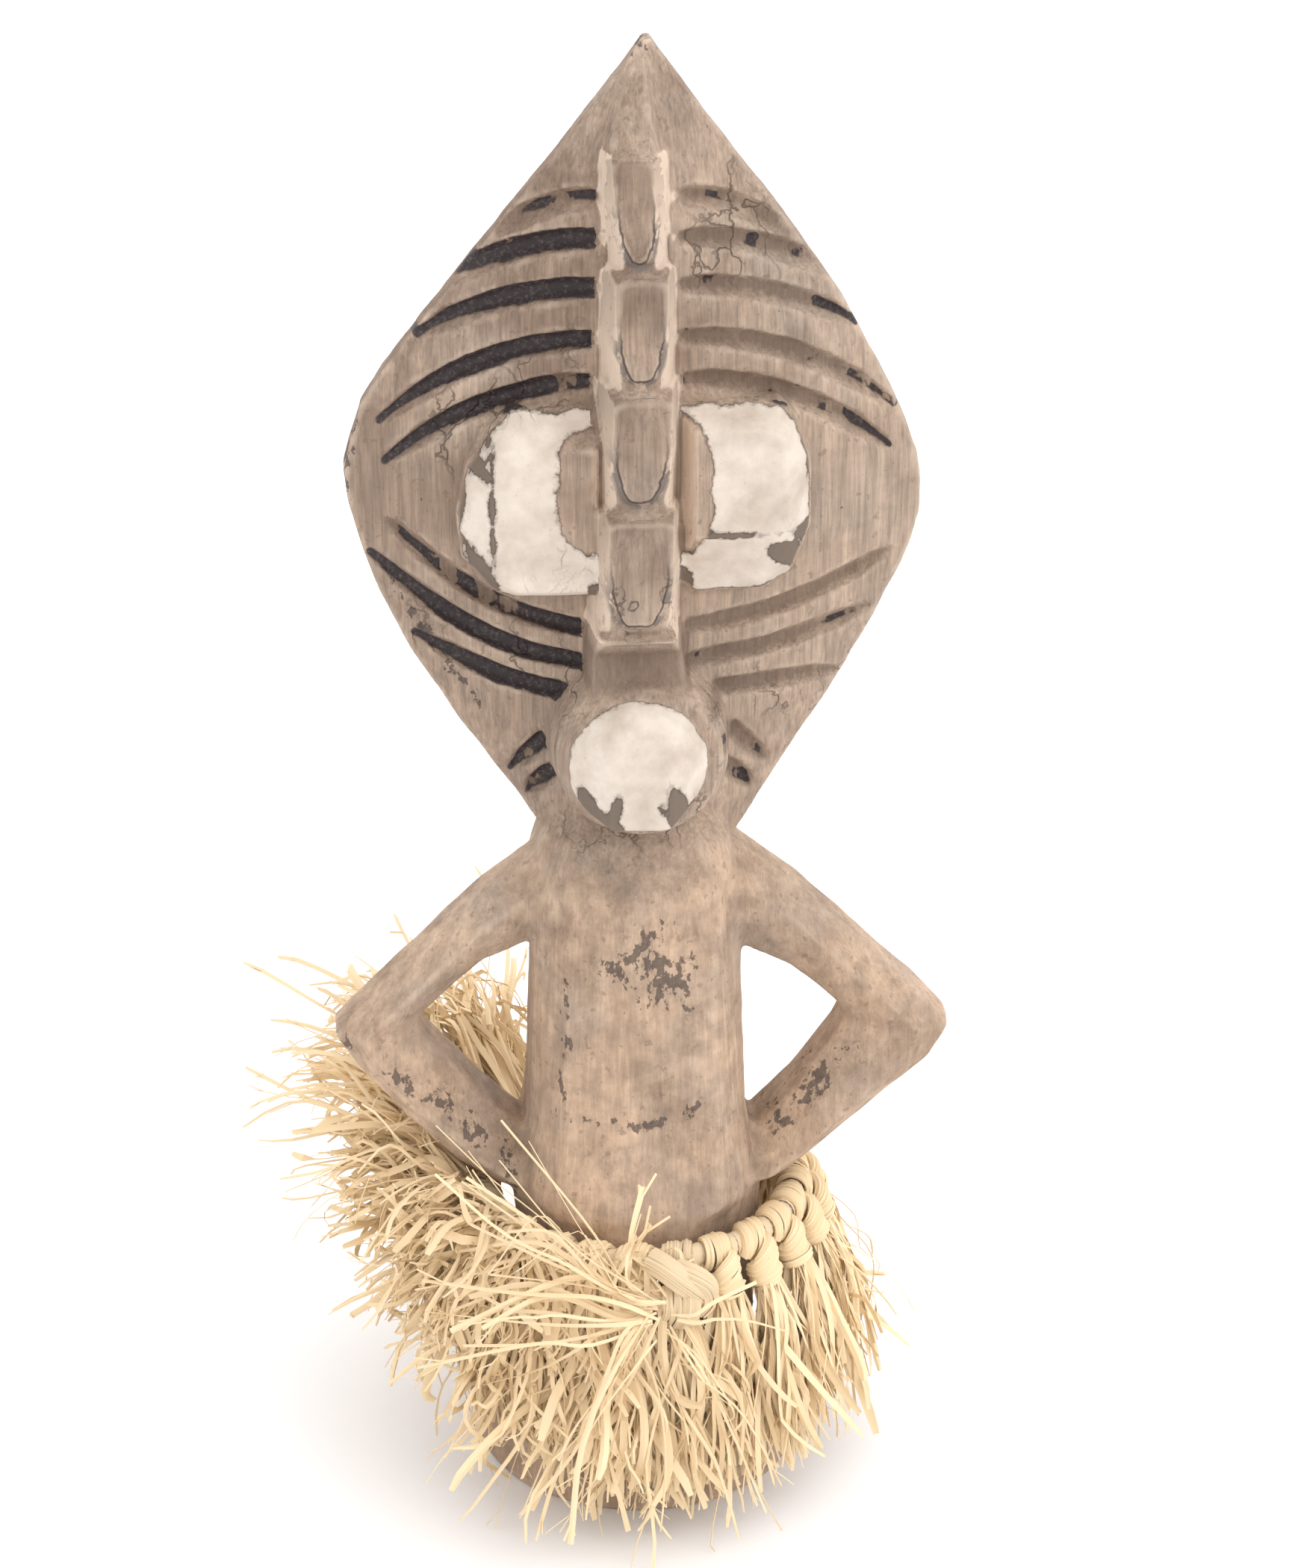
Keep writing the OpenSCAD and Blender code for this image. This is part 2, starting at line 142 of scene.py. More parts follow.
def apply_modifier(obj, kind, name, **settings):
    """Adds a modifier with these settings to obj and applies it."""
    select_only(obj)
    modifier = obj.modifiers.new(name, kind)
    for key, value in settings.items():
        setattr(modifier, key, value)
    bpy.ops.object.modifier_apply(modifier=modifier.name)


def points_of(obj):
    """The mesh's points in mm."""
    co = np.empty(len(obj.data.vertices) * 3)
    obj.data.vertices.foreach_get("co", co)
    return co.reshape(-1, 3) / MM


def set_points(obj, points):
    obj.data.vertices.foreach_set("co", (points * MM).ravel())
    obj.data.update()


def normals_of(obj):
    n = np.empty(len(obj.data.vertices) * 3)
    obj.data.vertices.foreach_get("normal", n)
    return n.reshape(-1, 3)


def store(obj, name, values):
    """Keeps one number a point on the mesh, for its material to read."""
    layer = obj.data.attributes.get(name) or obj.data.attributes.new(name, "FLOAT", "POINT")
    layer.data.foreach_set("value", np.asarray(values, np.float32))


# ---------------------------------------------------------------- shader helpers

class Nodes:
    """A short way to place and link the nodes of a material or of a node group."""

    def __init__(self, tree):
        self.tree = tree

    def add(self, kind, inputs=None, **settings):
        node = self.tree.nodes.new(kind)
        for key, value in settings.items():
            setattr(node, key, value)
        for key, value in (inputs or {}).items():
            self.feed(node.inputs[key], value)
        return node

    def feed(self, socket, value):
        if isinstance(value, bpy.types.NodeSocket):
            self.tree.links.new(value, socket)
        else:
            socket.default_value = value

    def math(self, operation, a, b=0.0, c=None, clamp=False):
        node = self.add("ShaderNodeMath", {0: a, 1: b}, operation=operation, use_clamp=clamp)
        if c is not None:
            self.feed(node.inputs[2], c)
        return node.outputs[0]

    def mix(self, factor, a, b, kind="RGBA", blend="MIX"):
        node = self.add("ShaderNodeMix", data_type=kind, blend_type=blend)
        a_in, b_in, out = {"RGBA": (6, 7, 2), "FLOAT": (2, 3, 0)}[kind]
        self.feed(node.inputs[0], factor)
        self.feed(node.inputs[a_in], a)
        self.feed(node.inputs[b_in], b)
        return node.outputs[out]

    def ramp(self, value, low, high, out_low=0.0, out_high=1.0):
        node = self.add("ShaderNodeMapRange", {0: value, 1: low, 2: high, 3: out_low, 4: out_high},
                        clamp=True)
        return node.outputs[0]

    def noise(self, vector, scale, detail=3.0, rough=0.5, distortion=0.0):
        node = self.add("ShaderNodeTexNoise", {"Vector": vector, "Scale": scale, "Detail": detail,
                                               "Roughness": rough, "Distortion": distortion})
        return node.outputs["Fac"]

    def stretched(self, vector, x, y, z):
        return self.add("ShaderNodeMapping", {"Vector": vector, "Scale": (x, y, z)}).outputs[0]

    def attribute(self, name):
        return self.add("ShaderNodeAttribute", attribute_name=name).outputs["Fac"]


def new_group(name, inputs, outputs):
    """A node group with named sockets. Each socket is (name, kind, default)."""
    group = bpy.data.node_groups.new(name, "ShaderNodeTree")
    for in_out, sockets in (("INPUT", inputs), ("OUTPUT", outputs)):
        for socket_name, kind, default in sockets:
            socket = group.interface.new_socket(socket_name, in_out=in_out, socket_type="NodeSocket" + kind)
            if default is not None:
                socket.default_value = default
    n = Nodes(group)
    return n, n.add("NodeGroupInput").outputs, n.add("NodeGroupOutput").inputs


def use_group(n, name, inputs):
    node = n.add("ShaderNodeGroup", node_tree=bpy.data.node_groups[name])
    for key, value in inputs.items():
        n.feed(node.inputs[key], value)
    return node.outputs


def grain_group():
    """Weathered grain that runs up the block: tone, fibres and drying cracks."""
    n, given, out = new_group(
        "wood_grain",
        [("Vector", "Vector", None), ("Fineness", "Float", 1.0)],
        [("Tone", "Float", None), ("Fibre", "Float", None), ("Crack", "Float", None)])
    v = given["Vector"]
    patina = n.noise(n.stretched(v, 34, 34, 20), 1.0, 4.0, 0.6, 0.3)
    streak = n.noise(n.stretched(v, 260, 260, 16), 1.0, 3.0, 0.6, 0.15)
    tone = n.math("ADD", n.math("MULTIPLY", patina, 0.62), n.math("MULTIPLY", streak, 0.38))
    n.feed(out["Tone"], tone)
    fine = n.math("MULTIPLY", given["Fineness"], 1.0)
    fibre_a = n.noise(n.add("ShaderNodeVectorMath", {0: n.stretched(v, 1500, 1500, 42), "Scale": fine},
                            operation="SCALE").outputs[0], 1.0, 3.0, 0.65, 0.1)
    fibre_b = n.noise(n.stretched(v, 620, 620, 30), 1.0, 2.0, 0.5, 0.1)
    n.feed(out["Fibre"], n.math("ADD", n.math("MULTIPLY", fibre_a, 0.6), n.math("MULTIPLY", fibre_b, 0.4)))
    wandering = n.add("ShaderNodeVectorMath", {
        0: n.stretched(v, 95, 95, 13),
        1: n.add("ShaderNodeTexNoise", {"Vector": v, "Scale": 160.0, "Detail": 3.0}).outputs["Color"]},
        operation="ADD").outputs[0]
    cells = n.add("ShaderNodeTexVoronoi", {"Vector": wandering, "Scale": 1.0}, feature="DISTANCE_TO_EDGE")
    rare = n.ramp(n.noise(v, 26.0, 3.0), 0.56, 0.66)
    line = n.ramp(cells.outputs["Distance"], 0.0, 0.035, 1.0, 0.0)
    n.feed(out["Crack"], n.math("MULTIPLY", line, rare))


def flake_group():
    """Paint that has flaked: turns a distance inside a painted edge into a crisp, ragged mask,
    and the thin dark line of its broken rim."""
    n, given, out = new_group(
        "flaked_paint",
        [("Vector", "Vector", None), ("Inside", "Float", 0.0), ("Ragged", "Float", 1.0),
         ("Missing", "Float", 0.0)],
        [("Mask", "Float", None), ("Rim", "Float", None)])
    v = given["Vector"]
    big = n.math("SUBTRACT", n.noise(v, 120.0, 2.0, 0.5), 0.5)
    small = n.math("SUBTRACT", n.noise(v, 620.0, 3.0, 0.6), 0.5)
    ragged = n.math("ADD", n.math("MULTIPLY", big, 3.2), n.math("MULTIPLY", small, 1.6))
    edge = n.math("MULTIPLY_ADD", ragged, given["Ragged"], given["Inside"])
    holes = n.math("SUBTRACT", n.noise(n.stretched(v, 150, 150, 95), 1.0, 3.0, 0.55), 0.5)
    kept = n.math("MULTIPLY_ADD", holes, 14.0, n.math("MULTIPLY_ADD", given["Missing"], -7.0, 3.5))
    depth = n.math("MINIMUM", edge, kept)
    n.feed(out["Mask"], n.ramp(depth, -0.06, 0.06))
    inner = n.ramp(depth, 0.0, 0.5, 1.0, 0.0)
    n.feed(out["Rim"], n.math("MULTIPLY", inner, n.ramp(depth, -0.35, -0.1)))


def fleck_group():
    """Small scattered flecks, more of them where Amount is higher."""
    n, given, out = new_group("flecks", [("Vector", "Vector", None), ("Size", "Float", 300.0),
                                         ("Amount", "Float", 0.3)], [("Mask", "Float", None)])
    spots = n.add("ShaderNodeTexNoise", {"Vector": given["Vector"], "Scale": given["Size"], "Detail": 2.0,
                                         "Roughness": 0.55}).outputs["Fac"]
    limit = n.math("MULTIPLY_ADD", given["Amount"], -0.42, 0.8)
    n.feed(out["Mask"], n.ramp(n.math("SUBTRACT", spots, limit), 0.0, 0.03))


def new_material(name):
    material = bpy.data.materials.new(name)
    material.use_nodes = True
    material.node_tree.nodes.clear()
    n = Nodes(material.node_tree)
    output = n.add("ShaderNodeOutputMaterial")
    shader = n.add("ShaderNodeBsdfPrincipled")
    n.tree.links.new(shader.outputs[0], output.inputs["Surface"])
    return material, n, shader


def rgb(colour):
    return (*colour[:3], 1.0)


# ---------------------------------------------------------------- the carving

def bent_line(side, x0, z0, end, steps=10):
    """A groove's middle line: level at the ridge, bending towards its outer end."""
    x = np.linspace(x0, end[0], steps)
    z = z0 + (end[1] - z0) * ((x - x0) / (end[0] - x0)) ** 2.1
    return np.stack([side * x, z], 1)


def groove_lines():
    """Every groove as (middle line, kind, side, number)."""
    for side in (-1, 1):
        for i, (z0, end) in enumerate(zip(BROW_AT_RIDGE, BROW_ENDS)):
            yield bent_line(side, 7.5, z0, end), "brow", side, i
        for i, (z0, end) in enumerate(zip(CHEEK_AT_RIDGE, CHEEK_ENDS[side])):
            yield bent_line(side, 10, z0, end), "cheek", side, i
        for i, ends in enumerate(CHIN_GROOVES):
            yield np.array(ends, float) * (side, 1), "chin", side, i


def line_distance(x, z, line):
    """Distance from points to a line of short pieces, and the share of its length where that falls."""
    best = np.full(len(x), 1e9)
    along = np.zeros(len(x))
    for k in range(len(line) - 1):
        a, d = line[k], line[k + 1] - line[k]
        t = np.clip(((x - a[0]) * d[0] + (z - a[1]) * d[1]) / (d @ d), 0, 1)
        away = np.hypot(x - a[0] - t * d[0], z - a[1] - t * d[1])
        nearer = away < best
        best[nearer] = away[nearer]
        along[nearer] = (k + t[nearer]) / (len(line) - 1)
    return best, along


def groove_paint_left(kind, side, number, along):
    """How much black is left along a groove, from 0 to 1. The figure's right side kept more."""
    if side < 0:
        kept = {"brow": (0.62, 0.9, 0.95, 0.95, 0.9), "cheek": (0.5, 0.95, 0.95), "chin": (0.75, 0.6)}
        near_ridge = {"brow": (1.0, 1.0, 1.0, 0.6, 0.35), "cheek": (0.9, 0.8, 1.0), "chin": (0.5, 0.4)}
        return lerp(near_ridge[kind][number], kept[kind][number], smooth(along / 0.45))
    kept = {"brow": (0.3, 0.2, 0.1, 0.25, 0.3), "cheek": (0.1, 0.12, 0.1), "chin": (0.3, 0.3)}
    outer = {"brow": (0.2, 0.4, 0.9, 0.6, 0.75), "cheek": (0.2, 0.35, 0.2), "chin": (0.4, 0.3)}
    return lerp(kept[kind][number], outer[kind][number], smooth((along - 0.6) / 0.35))


def ridge_share(p):
    """For points on the ridge's front: how far down its segment each is, from 0 to 1, how far out of the
    segment's hollow, in mm (negative inside), and whether it is on the front at all."""
    x, y, z = p.T
    share, outside = np.zeros(len(p)), np.full(len(p), 9.0)
    middle = np.interp(-z, [-h for h in RIDGE_LEDGES], RIDGE_X)
    off = np.abs(x - middle)
    front = (y < -14) & (z < RIDGE_LEDGES[0]) & (z > RIDGE_LEDGES[-1] - 2) & (off < 9.6)
    for i, (top, foot) in enumerate(zip(RIDGE_LEDGES, RIDGE_LEDGES[1:])):
        t = (top - z) / (top - foot)
        here = front & (t >= 0) & (t <= 1)
        half = 4.2 + 0.85 * i
        edge = off - half * np.sqrt(np.clip(1 - (np.clip(t - 0.3, 0, 1) / 0.62) ** 2.4, 0, 1))
        end = (t - 0.88) * (top - foot) + 3.5 * (off / half) ** 3
        share[here] = t[here]
        outside[here] = np.maximum(edge, end)[here]
    return share, outside, front


def scoop_ridge(p):
    """Hollows the front of each ridge segment as a gouge does: in under the ledge, out to a round end."""
    t, outside, front = ridge_share(p)
    hollow = 1.7 * np.sin(np.pi * np.clip(t / 0.86, 0, 1)) ** 0.8 * np.clip(-outside / 2.6, 0, 1) ** 0.6
    past = 1.1 * smooth(outside / 1.2) * smooth((t - 0.45) / 0.4)
    p[:, 1] += np.where(front, hollow + past, 0)
    return p


def soften(obj, points, share, rounds):
    """Rounds the facets off, as long handling does, by the share given at each point."""
    for _ in range(rounds):
        points = lerp(points, neighbours_mean(obj, points), share[:, None])
    return points


def neighbours_mean(obj, points):
    edges = np.empty(len(obj.data.edges) * 2, np.int64)
    obj.data.edges.foreach_get("vertices", edges)
    a, b = edges.reshape(-1, 2).T
    count = np.bincount(a, minlength=len(points)) + np.bincount(b, minlength=len(points))
    total = [np.bincount(a, points[b, k], len(points)) + np.bincount(b, points[a, k], len(points)) for k in range(3)]
    return np.stack(total, 1) / count[:, None]


def inside_outline(x, z, outline):
    """Distance inside a convex outline, in mm, negative outside."""
    ring = np.array(outline)
    best = np.full(len(x), 99.0)
    middle = ring.mean(0)
    for a, b in zip(ring, np.roll(ring, -1, 0)):
        d = (b - a) / np.linalg.norm(b - a)
        n = np.array([-d[1], d[0]])
        n *= np.sign((middle - a) @ n)
        best = np.minimum(best, (x - a[0]) * n[0] + (z - a[1]) * n[1])
    return best


def carving_marks(obj):
    """Stores what the wood's material needs: distances to grooves, bosses, stains and the relief."""
    p = points_of(obj)
    x, y, z = p.T
    normal = normals_of(obj)
    on_face = (z > NECK - 6) & (y < 1.5)
    groove = np.full(len(p), 30.0)
    paint = np.zeros(len(p))
    clear = (np.hypot(x - MOUTH[0], z - MOUTH[1]) > 21) & on_face
    left, right = (np.interp(-z, [-h for h in RIDGE_LEDGES], RIDGE_ROOTS[side]) for side in (-1, 1))
    clear &= (x < -left) | (x > right)
    for line, kind, side, number in groove_lines():
        away, along = line_distance(x, z, line)
        away += 1.5 * smooth((along - 0.55) / 0.45) + (1.0 if (kind, number) == ("brow", 0) else 0.0)
        nearer = clear & (away < groove)
        groove[nearer] = away[nearer]
        paint[nearer] = groove_paint_left(kind, side, number, along)[nearer]
    store(obj, "groove_away", groove)
    store(obj, "groove_paint", paint)

    # white paint: distance inside the edge of an eye or of the mouth
    white = np.full(len(p), -9.0)
    for side in (-1, 1):
        flat, height, half_x, half_z = PUPILS[side]
        eye = inside_outline(side * x, z, EYE_RIMS[side]) - 0.7
        pupil = (np.abs((x - flat) / half_x) ** 2.8 + np.abs((z - height) / half_z) ** 2.8) ** (1 / 2.8) - 1
        eye = np.minimum(eye, pupil * half_x)
        beside_ridge = side * x - (-side * RIDGE_SIDES[side] + (y + 5) * 0.09)
        eye = np.minimum(eye, np.where(beside_ridge > 0, 9, -9))
        eye = np.where(on_face & (side * x > 0), np.minimum(eye, (-12.4 - y) * 1.4), -9)
        white = np.maximum(white, eye)
    mouth = MOUTH[2] - 0.5 - np.hypot(x - MOUTH[0], z - MOUTH[1])
    white = np.maximum(white, np.where((z < 232) & on_face, np.minimum(mouth, (-31.5 - y) * 1.4), -9))
    store(obj, "boss_inside", white)
    for chip in WHITE_CHIPS:
        white = np.where(on_face, np.minimum(white, patch_distance(x, z, *chip)), white)
    store(obj, "white_inside", white)

    stain = np.full(len(p), -1.0)
    for side, *patch in STAINS:
        facing = {"front": normal[:, 1] < 0.1, "edge": np.abs(y) < 12}[side]
        stain = np.where(facing, np.maximum(stain, -patch_distance(x, z, *patch) / min(patch[2:4])), stain)
    store(obj, "stain_inside", stain)
    store(obj, "relief", relief(obj, p, normal))
    share, outside, front = ridge_share(p)
    store(obj, "ridge_share", np.where(front, share, -1.0))
    store(obj, "ridge_outside", outside)
    # painted shade: darker under the ridge's foot above the mouth, and on the neck just under the head board
    under_lip = (np.abs(x + 1.5) < 13) & (z > 224) & (z < 240.5) & (y < -9)
    under_nose = np.where(under_lip, np.minimum(240.5 - z, z - 224) / 5, 0)
    neck = np.where((z < NECK + 1) & (z > NECK - 30), 1 - np.abs(z - NECK + 8) / 20, 0)
    wall = (y < -9) & (z > 241) & (z < 356) & (np.abs(x + 1) < 16)
    store(obj, "bare", np.where(wall, smooth((np.abs(normal[:, 0]) - 0.5) / 0.3), 0))
    store(obj, "shade", np.clip(np.maximum(under_nose, 0.3 * neck), 0, 1))


def patch_distance(x, z, cx, cz, half_x, half_z, turn=0.0):
    """Distance outside an oval patch, in mm, negative inside."""
    a = math.radians(turn)
    u = (x - cx) * math.cos(a) + (z - cz) * math.sin(a)
    v = -(x - cx) * math.sin(a) + (z - cz) * math.cos(a)
    return (np.hypot(u / half_x, v / half_z) - 1) * min(half_x, half_z)


# where white is missing: middle x and z, half sizes, turn in degrees
WHITE_CHIPS = (
    (-38.6, 255.5, 2.4, 8, 22), (-36.3, 268, 0.6, 13, 0), (-39.6, 282.4, 4.4, 2.0, -42), (-43.8, 272, 1.3, 11, -6),
    (-10.2, 250.5, 4.2, 3.4, -38), (-37.6, 247.6, 3, 2, 30), (9.4, 251.4, 3, 4.4, 30), (-12, 296.5, 9, 1.0, 0),
    (-21.5, 279, 0.5, 2.8, 0), (34.4, 258.4, 5.0, 3.4, -38), (39.4, 264.0, 2.6, 1.8, 30), (22, 264.8, 9.5, 0.75, 0),
    (-12.6, 197.4, 7.2, 3.4, -34), (-8.8, 201, 1.8, 4.6, -14), (-15.4, 202.6, 1.8, 3.4, 30),
    (6.8, 198.4, 2.4, 7.4, 8), (10.4, 196.4, 5.6, 3.2, 32), (3.2, 201.4, 1.3, 1.4, 0),
)
# dark stains and remains of black: side, middle x and z, half sizes, turn in degrees
STAINS = (
    ("front", 1, 157, 6, 6, 0), ("front", 9, 148, 2.6, 9, 12), ("front", -7, 151, 4, 4, 0), ("front", 4, 149, 7, 7, 30),
    ("front", -11, 110.6, 9, 1.5, -8), ("front", 1, 109.6, 9, 1.6, 4), ("front", 11, 113, 6, 1.5, 30),
    ("front", -20.5, 143, 1.0, 6, 0), ("front", -20, 132, 1.3, 4, 0), ("front", -21.5, 120, 0.7, 5, 10),
    ("edge", -74, 123.5, 3.4, 3.6, 30), ("front", -62, 117, 2.2, 7, 40), ("front", -52, 110, 2.2, 5, 40),
    ("front", -44, 101, 3.2, 5, 38), ("front", 45, 109, 2.6, 12, -38), ("front", 36, 99, 2.2, 4, -40),
    ("edge", -70.5, 282, 2.2, 16, -10), ("edge", -50, 232, 1.6, 20, 34), ("edge", 0.5, 379, 3, 2.4, 0),
    ("front", 66.5, 272, 0.8, 2, 20), ("front", -52, 274, 1.6, 2.4, 0), ("front", -34, 88, 1.8, 8, 5),
)


def relief(obj, p, normal):
    """How far each point stands out of its surroundings, in mm: edges above 0, hollows below."""
    flat = soften(obj, p, np.full(len(p), 0.5), 14)
    return ((p - flat) * normal).sum(1)


def carved_wood():
    """Hewn, weathered wood with what is left of its black and white paint."""
    colours = bpy.context.scene.carving
    material, n, shader = new_material("carved_wood")
    v = n.add("ShaderNodeTexCoord").outputs["Object"]
    grain = use_group(n, "wood_grain", {"Vector": v})
    raised = n.attribute("relief")

    base = n.mix(n.ramp(grain["Tone"], 0.38, 0.60), rgb(colours.wood_dark), rgb(colours.wood))
    base = n.mix(n.math("MULTIPLY", n.ramp(n.noise(v, 38.0, 4.0, 0.6), 0.46, 0.68), 0.6), base, rgb(colours.wood_grey))
    base = n.mix(n.math("MULTIPLY", n.ramp(n.noise(v, 60.0, 5.0, 0.65), 0.55, 0.72), 0.5), base, rgb(colours.grime_and_painted_shade))
    mottle = n.ramp(n.noise(v, 165.0, 6.0, 0.68), 0.34, 0.66, 0.72, 1.18)
    base = n.mix(0.8, base, n.add("ShaderNodeCombineColor", {0: mottle, 1: mottle, 2: mottle}).outputs[0],
                 blend="MULTIPLY")
    on_head = n.ramp(n.add("ShaderNodeSeparateXYZ", {0: v}).outputs["Z"], 0.172, 0.184)
    base = n.mix(n.math("MULTIPLY", on_head, 0.5), base, rgb(colours.wood_grey))
    brown = n.math("ADD", n.ramp(n.add("ShaderNodeSeparateXYZ", {0: v}).outputs["X"], 0.012, -0.02, 0.0, 0.35),
                   n.math("MULTIPLY", n.math("SUBTRACT", n.noise(v, 55.0, 4.0, 0.6), 0.5), 1.6))
    brown = n.math("MULTIPLY", n.math("MULTIPLY", n.ramp(brown, 0.0, 0.42), on_head), n.ramp(
        n.add("ShaderNodeSeparateXYZ", {0: v}).outputs["Z"], 0.25, 0.31, 0.45, 0.85))
    base = n.mix(brown, base, rgb(colours.patina))
    fibres = n.mix(n.math("MULTIPLY_ADD", on_head, 0.35, 0.4), 1.0, n.ramp(grain["Fibre"], 0.36, 0.64, 0.62, 1.24),
                   "FLOAT")
    base = n.mix(1.0, base, n.add("ShaderNodeCombineColor", {0: fibres, 1: fibres, 2: fibres}).outputs[0],
                 blend="MULTIPLY")
    worn = n.math("ADD", raised, n.math("MULTIPLY", n.math("SUBTRACT", n.noise(v, 240.0, 3.0), 0.5), 0.5))
    base = n.mix(n.ramp(worn, 0.22, 0.75, 0.0, 0.6), base, rgb(colours.wood_worn))
    base = n.mix(n.ramp(n.attribute("bare"), 0.2, 0.8, 0.0, 0.75), base, rgb(colours.wood_worn))
    # darker in the relief's hollows: grime and painted shade
    base = n.mix(n.ramp(worn, -0.8, -0.12, 0.7, 0.0), base, rgb(colours.grime_and_painted_shade))
    cracked = n.math("MULTIPLY", grain["Crack"], n.math("MULTIPLY", on_head, 0.7))
    base = n.mix(cracked, base, rgb(colours.crack))

    flecks = use_group(n, "flecks", {"Vector": v, "Size": 420.0, "Amount": 0.35})["Mask"]
    base = n.mix(n.math("MULTIPLY", flecks, 0.35), base, rgb(colours.grime_and_painted_shade))

    # black, in the grooves
    inside = n.math("SUBTRACT", GROOVE_HALF - 0.1, n.attribute("groove_away"))
    kept = n.attribute("groove_paint")
    black = use_group(n, "flaked_paint", {
        "Vector": v, "Inside": n.math("MULTIPLY_ADD", kept, 1.1, n.math("SUBTRACT", inside, 1.3)), "Ragged": 0.42,
        "Missing": n.math("SUBTRACT", 1.0, kept)})
    # darker inside the grooves: grime and painted shade
    ragged = n.math("MULTIPLY_ADD", n.math("SUBTRACT", n.noise(v, 350.0, 4.0, 0.65), 0.5), 4.0, inside)
    groove_grime_and_shade = n.math("MULTIPLY", n.ramp(ragged, 0.2, 1.6), 0.5)
    base = n.mix(groove_grime_and_shade, base, rgb(colours.grime_and_painted_shade))
    black_tone = n.mix(n.ramp(n.noise(v, 900.0, 5.0, 0.7), 0.5, 0.78), rgb(colours.black), rgb(colours.black_dusty))
    base = n.mix(black["Mask"], base, black_tone)

    # stains and remains of black elsewhere, broken into flakes
    patch = n.math("MULTIPLY", n.math("MINIMUM", n.attribute("stain_inside"), 0.8), 0.17)
    flakes = n.math("ADD", n.noise(n.stretched(v, 1, 1, 0.7), 460.0, 4.0, 0.6), patch)
    stain = n.ramp(flakes, 0.57, 0.60)
    base = n.mix(n.math("MULTIPLY", stain, 0.72), base, black_tone)

    # the ridge: painted shade under each ledge, and what is left of its paint round each hollow
    share, outside = n.attribute("ridge_share"), n.attribute("ridge_outside")
    on_ridge = n.ramp(share, -0.01, 0.01)
    painted_shade_under_ledges = n.math("MULTIPLY", n.ramp(share, 0.62, 0.02, 0.0, 0.42), on_ridge)
    base = n.mix(painted_shade_under_ledges, base, rgb(colours.grime_and_painted_shade))
    wavy = n.math("ADD", outside, n.math("MULTIPLY", n.math("SUBTRACT", n.noise(v, 300.0, 3.0), 0.5), 1.5))
    rim = n.math("MULTIPLY", n.ramp(wavy, -0.12, 0.02), n.ramp(share, 0.3, 0.62))
    rim = n.math("MULTIPLY", rim, n.ramp(n.noise(v, 260.0, 4.0, 0.6), 0.44, 0.52))
    rim = n.math("MULTIPLY", rim, n.ramp(wavy, 2.6, 1.2))
    base = n.mix(n.math("MULTIPLY", rim, 0.85), base, rgb(colours.ridge_paint))
    outline = n.math("MULTIPLY", n.ramp(n.math("ABSOLUTE", wavy), 0.4, 0.15), n.ramp(share, 0.25, 0.6))
    base = n.mix(n.math("MULTIPLY", outline, 0.8), base, rgb(colours.crack))
    # painted shade under the ridge's foot and under the head board, broken up by noise
    shade = n.math("ADD", n.attribute("shade"), n.math("MULTIPLY", n.math("SUBTRACT", n.noise(v, 90.0, 3.0), 0.5), 0.5))
    base = n.mix(n.ramp(shade, 0.2, 0.9, 0.0, 0.62), base, rgb(colours.grime_and_painted_shade))

    # white, on the eyes and the mouth
    edge = n.attribute("white_inside")
    base = n.mix(n.math("MULTIPLY", n.ramp(n.attribute("boss_inside"), -0.3, 0.5), 0.9), base, rgb(colours.ground))
    white = use_group(n, "flaked_paint", {"Vector": v, "Inside": edge, "Ragged": 1.0, "Missing": 0.0})
    dirty = n.ramp(n.noise(v, 90.0, 4.0, 0.6), 0.35, 0.75)
    white_tone = n.mix(dirty, rgb(colours.white), rgb(colours.white_dirty))
    specks = use_group(n, "flecks", {"Vector": v, "Size": 800.0, "Amount": 0.22})["Mask"]
    white_tone = n.mix(n.math("MULTIPLY", specks, 0.3), white_tone, rgb(colours.wood_dark))
    base = n.mix(white["Mask"], base, white_tone)
    base = n.mix(n.math("MULTIPLY", n.math("MAXIMUM", white["Rim"], black["Rim"]), 0.5), base, rgb(colours.crack))

    n.feed(shader.inputs["Base Color"], base)
    painted = n.math("MAXIMUM", black["Mask"], white["Mask"])
    n.feed(shader.inputs["Roughness"], n.mix(black["Mask"], 0.78, 0.5, "FLOAT"))
    shader.inputs["Specular IOR Level"].default_value = 0.28
    height = n.math("ADD", n.math("MULTIPLY", grain["Fibre"], n.mix(painted, 0.26, 0.05, "FLOAT")),
                    n.math("MULTIPLY", painted, 0.16))
    height = n.math("SUBTRACT", height, n.math("MULTIPLY", cracked, 0.5))
    height = n.math("ADD", height, n.math("MULTIPLY", n.noise(v, 600.0, 4.0, 0.6), 0.22))
    bump = n.add("ShaderNodeBump", {"Height": height, "Strength": 0.9, "Distance": MM})
    n.feed(shader.inputs["Normal"], bump.outputs[0])
    return material


# ---------------------------------------------------------------- raffia strips

RINGS = 14


